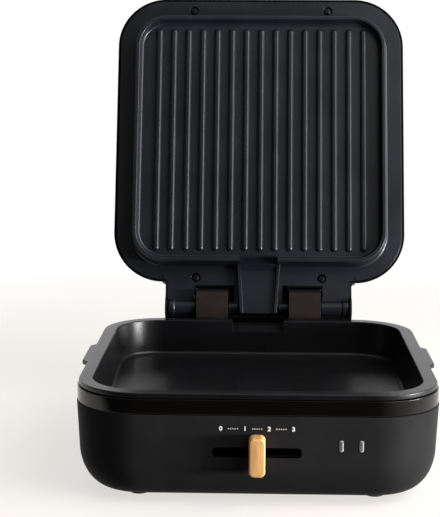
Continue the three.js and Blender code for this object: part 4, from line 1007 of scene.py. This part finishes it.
# Lid cover
# The lid's outer shell is one black moulding with a broad round shoulder and a short skirt.
# It is built closed about the hinge line, as the rest of the lid is, and then swung open.
HINGE_TO_LID = 25.8 * MM
LID_WIDTH = 297 * MM
LID_DEPTH = 300 * MM
LID_CORNER = 50.7 * MM
lid_back = -HINGE_TO_LID
LID = {"width": LID_WIDTH, "depth": LID_DEPTH, "corner": LID_CORNER, "middle": lid_back - LID_DEPTH / 2}
CLOSED_FLANGE_LEVEL = 97 * MM
FLANGE_THICKNESS = 4 * MM
LID_HEIGHT = 34 * MM
FLANGE = CLOSED_FLANGE_LEVEL - HINGE.z
FLANGE_BACK = FLANGE + FLANGE_THICKNESS
LID_TOP = FLANGE + LID_HEIGHT
LID_CURVE = 20 * MM
LID_DRAFT = 2 * MM
LID_RIM = 1.9 * MM
LID_WALL = 2.8 * MM
RIM_STRIP = 1.8 * MM
STRIP_EDGE = 0.5 * MM
STRIP_PROUD = 0.1 * MM
SEAM = 0.3 * MM
shell = around([
    *bend((LID_DRAFT + LID_CURVE, LID_TOP - LID_WALL), (LID_WALL + LID_DRAFT, LID_TOP - LID_WALL),
          (LID_WALL + LID_DRAFT, LID_TOP - LID_CURVE), 8),
    (LID_WALL + SEAM, FLANGE_BACK + SEAM),
    (LID_RIM, FLANGE_BACK + SEAM),
    (LID_RIM, FLANGE + RIM_STRIP),
    (STRIP_PROUD, FLANGE + RIM_STRIP),
    *bend((LID_DRAFT, LID_TOP - LID_CURVE), (LID_DRAFT, LID_TOP), (LID_DRAFT + LID_CURVE, LID_TOP), 14),
], LID, steps=24)
# A near-black strip round the cover's rim, beside the flange: painted shade.
rim_shade_strip = around([
    (LID_RIM, FLANGE + RIM_STRIP),
    (LID_RIM, FLANGE),
    (STRIP_EDGE, FLANGE),
    (0, FLANGE + STRIP_EDGE),
    (0, FLANGE + RIM_STRIP),
], LID, loop=True, steps=24)
ARM_HALF = 94.5 * MM
ARM_FILLET = 4 * MM
ARM_TOP = 11.6 * MM
ARM_EDGE = 0.3 * MM
ARM_OVERLAP = 8 * MM
ARM_HOLLOW_OVERLAP = 14 * MM
ARM_HOLLOW_END = 9 * MM
COVER_NOTCH_INNER = 30.85 * MM
NOTCH_OUTER = 63.4 * MM
NOTCH_FROM = lid_back + 5 * MM
ALL_THROUGH = 60 * MM
SHROUD_START = -3 * MM
SHROUD_ANGLE = -15
SHROUD_INNER_ANGLE = -19
LIP_ANGLE = -20
LIP_INNER_ANGLE = -24


def arm_outline(inset, forward, back):
    """The hinge arms' footprint behind the lid, with a concave fillet at each root."""
    half, rear = ARM_HALF - inset, lid_back - inset
    root = -half - ARM_FILLET
    left = [(root, forward), (root, rear),
            *bend((root, rear), (-half, rear), (-half, rear + ARM_FILLET), 6)[1:], (-half, back)]
    return left + [(-x, y) for x, y in reversed(left)]


def across(side, inner, outer):
    """Where a shape on one side of the lid starts and ends, from left to right."""
    return sorted((side * inner, side * outer))


def blocks_aside(inner, outer, front, back, low, high):
    """Two like blocks, one on each side of the lid's middle."""
    return [block((left, front, low), (right, back, high))
            for left, right in (across(side, inner, outer) for side in (-1, 1))]


def room_for_posts(inner, wider=0):
    """The two notches in the lid's rear edge that take the posts."""
    return blocks_aside(inner, NOTCH_OUTER + wider, NOTCH_FROM - wider, ALL_THROUGH,
                        -ALL_THROUGH, ALL_THROUGH)


def arc(radius, start, end, steps):
    """Points round the hinge line between two angles, as back and level."""
    angles = [math.radians(start + (end - start) * step / steps) for step in range(steps + 1)]
    return [(radius * math.cos(angle), radius * math.sin(angle)) for angle in angles]


under_arm_top = ARM_TOP - LID_WALL
arm_cover = pushed(arm_outline(0, lid_back - ARM_OVERLAP, 0), 2, FLANGE, ARM_TOP)
arm_hollow = pushed(arm_outline(LID_RIM, lid_back - ARM_HOLLOW_OVERLAP, ARM_HOLLOW_END), 2,
                    FLANGE - OVERRUN, under_arm_top)
arm_cover = carved(arm_cover, arm_hollow)
shroud_outline = [
    (SHROUD_START, ARM_TOP),
    *arc(ARM_TOP, 90, SHROUD_ANGLE, 20),
    *arc(under_arm_top, SHROUD_INNER_ANGLE, 90, 20),
    (SHROUD_START, under_arm_top),
]
shroud = pushed(shroud_outline, 0, -ARM_HALF, ARM_HALF)
cheeks = [rod(ARM_TOP, 0, *across(side, ARM_HALF, ARM_HALF - LID_RIM), (0, 0), 56) for side in (-1, 1)]
arm_cover = carved(fused(arm_cover, shroud, *cheeks), *room_for_posts(COVER_NOTCH_INNER))
arm_cover = softened(arm_cover, ARM_EDGE)
GAP_FRONT = 3.5 * MM
GAP_HEIGHT = 6 * MM
skirt_gap = block((-ARM_HALF + LID_RIM, lid_back - GAP_FRONT, FLANGE - OVERRUN),
                  (ARM_HALF - LID_RIM, lid_back + OVERRUN, FLANGE + GAP_HEIGHT))
shell = carved(shell, skirt_gap)
rim_shade_strip = carved(rim_shade_strip, skirt_gap)

RIM_EDGE_START = 1 * MM
RIM_EDGE_END = 1.6 * MM


def rim_edge(tree, place):
    """Painted shade: the cover's narrow rim round the flange turns near-black, in the turned frame of the
    open lid.
    """
    back, up = (tree.axis(place, name) for name in "YZ")
    level = (back - HINGE.y) * math.sin(OPEN_ANGLE) + (up - HINGE.z) * math.cos(OPEN_ANGLE)
    return 1 - level.above(FLANGE + RIM_EDGE_START, FLANGE + RIM_EDGE_END)


# The shell's colour is painted near-black along its rim by the flange, as shade.
shell_plastic = moulding("shell_plastic", tone(19, 19, 21), tone(25, 25, 27), 0.46, 0.3, edge=rim_edge)
# Near-black blocks lining the post notches, and a lip at the shroud's end: painted shade.
LINER_WALL = 1.7 * MM
LINER_REACH = 7 * MM
LINER_DROP = 0.7 * MM
LINER_BITE = 0.2 * MM
shade_liners = blocks_aside(COVER_NOTCH_INNER - LINER_WALL, NOTCH_OUTER + LINER_WALL, NOTCH_FROM - LINER_WALL,
                      NOTCH_FROM + LINER_REACH, FLANGE + LINER_DROP, under_arm_top + LINER_BITE)
lip_outline = [*arc(ARM_TOP, SHROUD_ANGLE, LIP_ANGLE, 2),
               *arc(under_arm_top, LIP_INNER_ANGLE, SHROUD_INNER_ANGLE, 2)]
shroud_lip = pushed(lip_outline, 0, -ARM_HALF, ARM_HALF)
shade_liners = carved(joined(*shade_liners, shroud_lip), *room_for_posts(COVER_NOTCH_INNER))
for name, mesh, material in (
        ("lid_shell", shell, shell_plastic), ("hinge_arm_cover", arm_cover, shell_plastic),
        ("cover_rim_strip", rim_shade_strip, shade_black_plastic), ("post_notch_liners", shade_liners, shade_black_plastic)):
    mesh.transform(opened)
    piece(name, mesh, material, "lid", ["lid_cover"])

# Upper grill plate
# One aluminium casting: a flange screwed to the cover, a raised square with a rounded bead round it,
# fifteen ribs on its field, hinge arms with their knuckles, and a spout that drains the open plate.
plate_coat = coating("plate_coat", tone(14, 16, 21), tone(27, 31, 39), 0.33, 0.45)
PLATE_WIDTH = 257 * MM
PLATE_DEPTH = 257.4 * MM
PLATE_CORNER = 32 * MM
PLATE_SETBACK = 18.2 * MM
plate_end = lid_back - PLATE_SETBACK
PLATE = {"width": PLATE_WIDTH, "depth": PLATE_DEPTH, "corner": PLATE_CORNER,
         "middle": plate_end - PLATE_DEPTH / 2}
FLANGE_GAP = 0.4 * MM
FLANGE_IN = LID_RIM + FLANGE_GAP
FLANGE_PLAN = {"width": LID_WIDTH - 2 * FLANGE_IN, "depth": LID_DEPTH - 2 * FLANGE_IN,
               "corner": LID_CORNER - FLANGE_IN, "middle": LID["middle"]}
FLANGE_EDGE = 0.6 * MM
FLANGE_EASE = 0.2 * MM
PLATE_RISE = 20 * MM
PLATE_RECESS = 9 * MM
PLATE_DRAFT = 1.2 * MM
BEAD_WIDTH = 4.2 * MM
BEAD_ROUND = 1.0 * MM
ROOT_ROUND = 2.4 * MM
bead = FLANGE - PLATE_RISE
field = bead + PLATE_RECESS
field_in = BEAD_WIDTH + PLATE_DRAFT
PLATE_STEPS = 24
rings = [ring(FLANGE_PLAN, inset, level, PLATE_STEPS) for inset, level in (
    (0, FLANGE_BACK),
    (0, FLANGE + FLANGE_EDGE),
    (FLANGE_EASE, FLANGE + FLANGE_EASE),
    (FLANGE_EDGE, FLANGE))]
rings += [ring(PLATE, inset, level, PLATE_STEPS) for inset, level in (
    *bend((-PLATE_DRAFT - ROOT_ROUND, FLANGE), (-PLATE_DRAFT, FLANGE),
          (-PLATE_DRAFT, FLANGE - ROOT_ROUND), 5),
    *bend((0, bead + BEAD_ROUND), (0, bead), (BEAD_ROUND, bead), 6),
    *bend((BEAD_WIDTH - BEAD_ROUND, bead), (BEAD_WIDTH, bead), (BEAD_WIDTH, bead + BEAD_ROUND), 6),
    *bend((field_in, field - ROOT_ROUND), (field_in, field), (field_in + ROOT_ROUND, field), 6))]
plate = lofted(rings)

SPOUT_TOP_WIDTH = 43.5 * MM
SPOUT_TIP_WIDTH = 37 * MM
SPOUT_WALL = 3 * MM
SPOUT_ROUND = 1.2 * MM
SPOUT_REACH = 32.2 * MM
SPOUT_HEIGHT = 6.5 * MM
CHANNEL_HEIGHT = 3.5 * MM
CHANNEL_ROOM = 30 * MM
CHANNEL_LEAD = 2 * MM
SLOPE_LEAD = 0.5 * MM
SLOPE_BEND_ALONG = 2 * MM
SLOPE_BEND_RISE = 7 * MM
SLOPE_LENGTH = 8 * MM
spout_tip = lid_back + SPOUT_REACH
spout_edge = FLANGE - SPOUT_HEIGHT
channel_floor = FLANGE - CHANNEL_HEIGHT


def spout_outline(inset, start, end):
    """The spout's plan between two places along it, drawn in by the inset."""
    def half(y):
        along = (y - plate_end) / (spout_tip - plate_end)
        return (SPOUT_TOP_WIDTH + (SPOUT_TIP_WIDTH - SPOUT_TOP_WIDTH) * along) / 2 - inset
    return [(-half(start), start), (half(start), start), (half(end), end), (-half(end), end)]


field_end = plate_end - field_in
far_into_field = field_end - CHANNEL_LEAD - OVERRUN
beyond_tip = spout_tip + OVERRUN
above_spout = spout_edge - CHANNEL_ROOM
slope_start = (field_end - SLOPE_LEAD, field)
slope_bend = (plate_end + SLOPE_BEND_ALONG, field + SLOPE_BEND_RISE)
slope_end = (plate_end + SLOPE_LENGTH, channel_floor)
channel_side = [
    (far_into_field, field),
    slope_start,
    *bend(slope_start, slope_bend, slope_end, 8)[1:],
    (beyond_tip, channel_floor),
    (beyond_tip, above_spout),
    (far_into_field, above_spout),
]
channel = pushed(channel_side, 0, -SPOUT_TOP_WIDTH, SPOUT_TOP_WIDTH)
channel_plan = pushed(spout_outline(SPOUT_WALL, far_into_field, beyond_tip), 2,
                      above_spout - OVERRUN, FLANGE_BACK)
channel = with_tool(channel, channel_plan, "INTERSECT")

FRONT_SCREWS = (70 * MM, lid_back - LID_DEPTH + 12.5 * MM)
REAR_SCREWS = (64 * MM, lid_back - 4.3 * MM)
WELL_RADIUS = 4.4 * MM
WELL_MOUTH = 5 * MM
WELL_CHAMFER = 0.7 * MM
WELL_DEPTH = 2.6 * MM
screw_places = [(side * aside, y) for aside, y in (FRONT_SCREWS, REAR_SCREWS) for side in (-1, 1)]
wells = []
for x, y in screw_places:
    well = turned([
        (WELL_MOUTH, FLANGE - OVERRUN),
        (WELL_MOUTH, FLANGE),
        (WELL_RADIUS, FLANGE + WELL_CHAMFER),
        (WELL_RADIUS, FLANGE + WELL_DEPTH),
    ], 32)
    well.transform(Matrix.Translation((x, y, 0)))
    wells.append(well)
plate = carved(carved(plate, channel), *wells)

ARMS_NOTCH_INNER = 24.2 * MM
ARMS_TUCK = 0.03 * MM
ARMS_OVERLAP = 9 * MM
ARMS_ROUND = 0.6 * MM
ARM_BLOCK_GAP = 1.2 * MM
ARM_BLOCK_DROP = 1 * MM
ARM_BLOCK_TOP = 10 * MM
LINER_GAP = 0.05 * MM
arm_sheet = pushed(arm_outline(FLANGE_IN, lid_back - ARMS_OVERLAP, 0), 2, FLANGE + ARMS_TUCK,
                   FLANGE_BACK - ARMS_TUCK)
arm_block = block((-ARM_HALF + FLANGE_IN, lid_back + ARM_BLOCK_GAP, FLANGE + ARM_BLOCK_DROP),
                  (ARM_HALF - FLANGE_IN, 0, FLANGE + ARM_BLOCK_TOP))
arms = fused(arm_sheet, arm_block)
arms = carved(arms, *room_for_posts(ARMS_NOTCH_INNER, LINER_WALL + LINER_GAP), *wells)
arms = softened(arms, ARMS_ROUND, 3, 60)

KNUCKLE = 8.5 * MM
KNUCKLE_ROUND = 0.8 * MM
KNUCKLE_END = 88 * MM
COLLAR = KNUCKLE + 0.8 * MM
COLLAR_ROUND = 2.4 * MM
COLLAR_ENDS = (84 * MM, 92 * MM)
INNER_KNUCKLE = KNUCKLE - 2.3 * MM
INNER_ENDS = (20.3 * MM, 30.5 * MM)
BORE_ENDS = (18 * MM, 110 * MM)
bores = [rod(BORE_RADIUS, 0, *across(side, *BORE_ENDS), (0, 0), 24) for side in (-1, 1)]
knuckles = []
for side in (-1, 1):
    for radius, ends, rounding in (
            (KNUCKLE, (NOTCH_OUTER, KNUCKLE_END), KNUCKLE_ROUND), (COLLAR, COLLAR_ENDS, COLLAR_ROUND),
            (INNER_KNUCKLE, INNER_ENDS, KNUCKLE_ROUND)):
        knuckle = softened(rod(radius, 0, *across(side, *ends), (0, 0), 48), rounding, 4)
        knuckles.append(carved(knuckle, *bores))
arms = carved(arms, *bores)

tongue = pushed(spout_outline(0, plate_end - BEAD_WIDTH / 2, spout_tip), 2, spout_edge, FLANGE_BACK)
tongue = softened(carved(tongue, channel), SPOUT_ROUND, 4, 50)

RIB_COUNT = 15
RIBS_ASIDE = 0.8 * MM
RIB_PITCH = 15.07 * MM
RIB_LENGTH = 233.8 * MM
RIB_BASE = 6.8 * MM
RIB_HEIGHT = 2.5 * MM
RIB_END_DRAFT = 1.2
RIB_SHARES = [(1.0, -0.12), (1.0, 0.0), (0.97, 0.24), (0.92, 0.46), (0.64, 0.78), (0.56, 0.9),
              (0.46, 0.96), (0.28, 0.992), (0.06, 1.0)]


def rib_ring(share, level):
    """A long rounded outline that narrows towards the rib's crest."""
    width = RIB_BASE * share
    length = RIB_LENGTH - (RIB_BASE - width) * RIB_END_DRAFT
    return ring({"width": width, "depth": length, "corner": (width - HAIR) / 2, "middle": 0}, 0, level, 6)


rib = lofted([rib_ring(width_share, -height_share * RIB_HEIGHT) for width_share, height_share in RIB_SHARES])
ribs = row(rib, RIB_COUNT, (RIB_PITCH, 0, 0), plate_coat)
ribs.transform(Matrix.Translation((RIBS_ASIDE, PLATE["middle"], field)))
casting_nodes = ["upper_grill_plate", "plate_flange", "drain_spout"]
for name, mesh in (("plate_body", plate), ("plate_ribs", ribs), ("plate_arms", arms),
                   ("plate_knuckles", joined(*knuckles)), ("plate_spout", tongue)):
    mesh.transform(opened)
    piece(name, mesh, plate_coat, "lid", casting_nodes, flat_above=40)


# Metal and other finishes of the inner parts
# Steel strip and pins, oxidised heater tube, bright sheet, brass blades, lacquered board and ceramic.
# Each keeps the marks of how it is made: rolling lines, heat tint or a fired skin.
def metal(name, colour, tint, roughness, tinted=0.4, line=0.25 * MM, patch=14 * MM, depth=0.02 * MM):
    """Bare metal with fine lines from rolling or drawing and a soft stain of its tint."""
    def settings(tree):
        lines = noise(tree, object_place(tree, (0.04, 1.0, 1.0)), line, 2.0)
        stain = noise(tree, object_place(tree), patch)
        bump = tree.add("ShaderNodeBump", None, {"Strength": 0.12, "Distance": depth, "Height": lines})
        return {
            "Base Color": tree.mixed(stain.above(0.35, 0.75) * tinted, colour, tint),
            "Metallic": 1.0,
            "Roughness": roughness + (lines - 0.5) * 0.18 + stain * 0.08,
            "Normal": bump,
        }
    return surface(name, settings)


def plain(name, colour, other, roughness, grain=1.2 * MM, depth=0.04 * MM):
    """A dull even finish that changes slightly from grain to grain."""
    def settings(tree):
        skin = noise(tree, object_place(tree), grain)
        bump = tree.add("ShaderNodeBump", None, {"Strength": 0.2, "Distance": depth, "Height": skin})
        return {"Base Color": tree.mixed(skin.above(0.35, 0.7), colour, other),
                "Roughness": roughness + (skin - 0.5) * 0.15, "Normal": bump}
    return surface(name, settings)


steel = metal("bright_steel", tone(196, 197, 199), tone(170, 168, 164), 0.28)
dark_steel = metal("darkened_steel", tone(58, 57, 57), tone(44, 42, 41), 0.34)
heater_steel = metal("heater_tube_steel", tone(118, 112, 106), tone(92, 78, 70), 0.45, 0.8)
bright_sheet = metal("bright_sheet", tone(206, 206, 208), tone(190, 188, 184), 0.34, 0.15)
brass = metal("brass", tone(205, 170, 96), tone(170, 132, 74), 0.26)
green_board = plain("green_board", tone(32, 92, 52), tone(24, 78, 44), 0.4, grain=3 * MM)
ceramic = plain("unglazed_ceramic", tone(216, 210, 196), tone(200, 192, 176), 0.75)
steel_nodes = [f"heater_clip_{where}" for where in ("front", "left", "right")]
steel_nodes += [f"{name}_{side}" for name in ("heater_clamp", "hinge_pin") for side in ("left", "right")]
for material, nodes in (
        (steel, [*steel_nodes, "pan_thermostat", "upper_thermostat", "slider_stem"]),
        (bright_sheet, ["heat_reflector", "upper_shield"]),
        (heater_steel, ["lower_heater", "upper_heater"]),
        (brass, ["inlet_blade_left", "inlet_blade_right", "inlet_blade_earth"]),
        (ceramic, ["thermal_fuse"]),
        (green_board, ["control_board"]),
        (lens_plastic, ["indicator_lamp_left", "indicator_lamp_right"]),
        # The slide behind the slot is painted near-black as shade.
        (shade_black_plastic, ["slide_control"]),
        (cover_plastic, ["power_inlet"])):
    for node in nodes:
        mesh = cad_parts[node].data
        mesh.materials.clear()
        mesh.materials.append(material)

# Screws
# Pan-headed steel screws with a cross recess hold the bottom cover, posts, plate and handle.
# Those in the plate are darkened, and sit in shallow wells in its flange.
HEAD_RADIUS = 3.1 * MM
HEAD_HEIGHT = 2 * MM
RECESS_ARM = 1.9 * MM
RECESS_HALF = 0.42 * MM
POINT_RADIUS = 0.3 * MM


def screw(length, shank_radius=1.8 * MM):
    """A screw whose head's underside lies at the origin, with its shank pointing up."""
    body = turned([
        (HEAD_RADIUS * 0.5, -HEAD_HEIGHT),
        (HEAD_RADIUS * 0.8, -HEAD_HEIGHT * 0.93),
        (HEAD_RADIUS * 0.95, -HEAD_HEIGHT * 0.7),
        (HEAD_RADIUS, -HEAD_HEIGHT * 0.35),
        (HEAD_RADIUS, 0),
        (shank_radius, 0),
        (shank_radius, length - shank_radius),
        (POINT_RADIUS, length),
    ], 24)
    slots = [block((-a, -b, -HEAD_HEIGHT * 1.2), (a, b, -HEAD_HEIGHT * 0.45))
             for a, b in ((RECESS_ARM, RECESS_HALF), (RECESS_HALF, RECESS_ARM))]
    return carved(body, fused(*slots))


def screw_row(name, places, length, body, material, nodes, move=Matrix.Identity(4)):
    points = bpy.data.meshes.new("places")
    points.from_pydata(places, [], [])
    mesh = laid_out(place_tree, points, screw(length), material)
    mesh.transform(move)
    piece(name, mesh, material, body, nodes)


COVER_SCREW_LENGTH = 10.7 * MM
POST_SCREW_LENGTH = 9.7 * MM
POST_MIDDLE = 46.8 * MM
POST_SCREW_ASIDE = 9 * MM
PLATE_SCREW_LENGTH = 14.1 * MM
PLATE_SCREW_SUNK = 2.2 * MM
cover_places = [(x, y, HOUSING_UNDERSIDE) for x, y in cover_screws]
screw_row("cover_screws", cover_places, COVER_SCREW_LENGTH, "base", steel,
          [f"cover_screw_{i}" for i in range(1, 5)])
under_block_top = BLOCK_TOP - HOUSING_WALL - SEAM
post_places = [(side * POST_MIDDLE + end * POST_SCREW_ASIDE, HINGE.y, under_block_top)
               for side in (-1, 1) for end in (-1, 1)]
screw_row("post_screws", post_places, POST_SCREW_LENGTH, "base", steel,
          [f"post_screw_{i}" for i in range(1, 5)])
plate_places = [(x, y, FLANGE + PLATE_SCREW_SUNK) for x, y in screw_places]
plate_corners = ("front_left", "front_right", "rear_left", "rear_right")
screw_row("plate_screws", plate_places, PLATE_SCREW_LENGTH, "lid", dark_steel,
          [f"plate_screw_{where}" for where in plate_corners], opened)

# Lid handle
# A bar of the same pale wood as the knob, on two steel sleeves that keep it off the hot lid.
# A screw from inside the lid runs through each sleeve into the wood.
handle_wood = wood("handle_wood", 0)
HANDLE_LENGTH = 130 * MM
HANDLE_DEPTH = 16 * MM
HANDLE_CORNER = 4 * MM
HANDLE_EDGE = 2.5 * MM
HANDLE_HEIGHT = 12 * MM
SLEEVE_SPACING = 96 * MM
SLEEVE_RADIUS = 5 * MM
SLEEVE_EDGE = 0.5 * MM
SLEEVE_REACH = 20 * MM
SLEEVE_GAP = 0.2 * MM
SLEEVE_TOP = LID_TOP + SLEEVE_REACH
HANDLE_LOW = SLEEVE_TOP + SLEEVE_GAP
HANDLE_TOP = HANDLE_LOW + HANDLE_HEIGHT
HANDLE_PLACE = lid_back - LID_DEPTH + 42 * MM
HANDLE_SCREW_LENGTH = 27.7 * MM
HANDLE = {"width": HANDLE_LENGTH, "depth": HANDLE_DEPTH, "corner": HANDLE_CORNER, "middle": HANDLE_PLACE}
handle = around([
    *bend((HANDLE_EDGE, HANDLE_LOW), (0, HANDLE_LOW), (0, HANDLE_LOW + HANDLE_EDGE), 5),
    *bend((0, HANDLE_TOP - HANDLE_CORNER), (0, HANDLE_TOP), (HANDLE_CORNER, HANDLE_TOP), 8),
], HANDLE, steps=10)
handle.transform(opened)
piece("handle_bar", handle, handle_wood, "lid", ["lid_handle"])
for side, x in (("left", -SLEEVE_SPACING / 2), ("right", SLEEVE_SPACING / 2)):
    sleeve = rod(SLEEVE_RADIUS, 2, LID_TOP + SEAM, SLEEVE_TOP, (x, HANDLE_PLACE), 32)
    sleeve = softened(sleeve, SLEEVE_EDGE)
    sleeve.transform(opened)
    piece(f"handle_sleeve_{side}", sleeve, steel, "lid", [f"handle_standoff_{side}"])
under_lid_top = LID_TOP - LID_WALL - SEAM
handle_places = [(side * SLEEVE_SPACING / 2, HANDLE_PLACE, under_lid_top) for side in (-1, 1)]
screw_row("handle_screws", handle_places, HANDLE_SCREW_LENGTH, "lid", steel,
          ["handle_screw_left", "handle_screw_right"], opened)
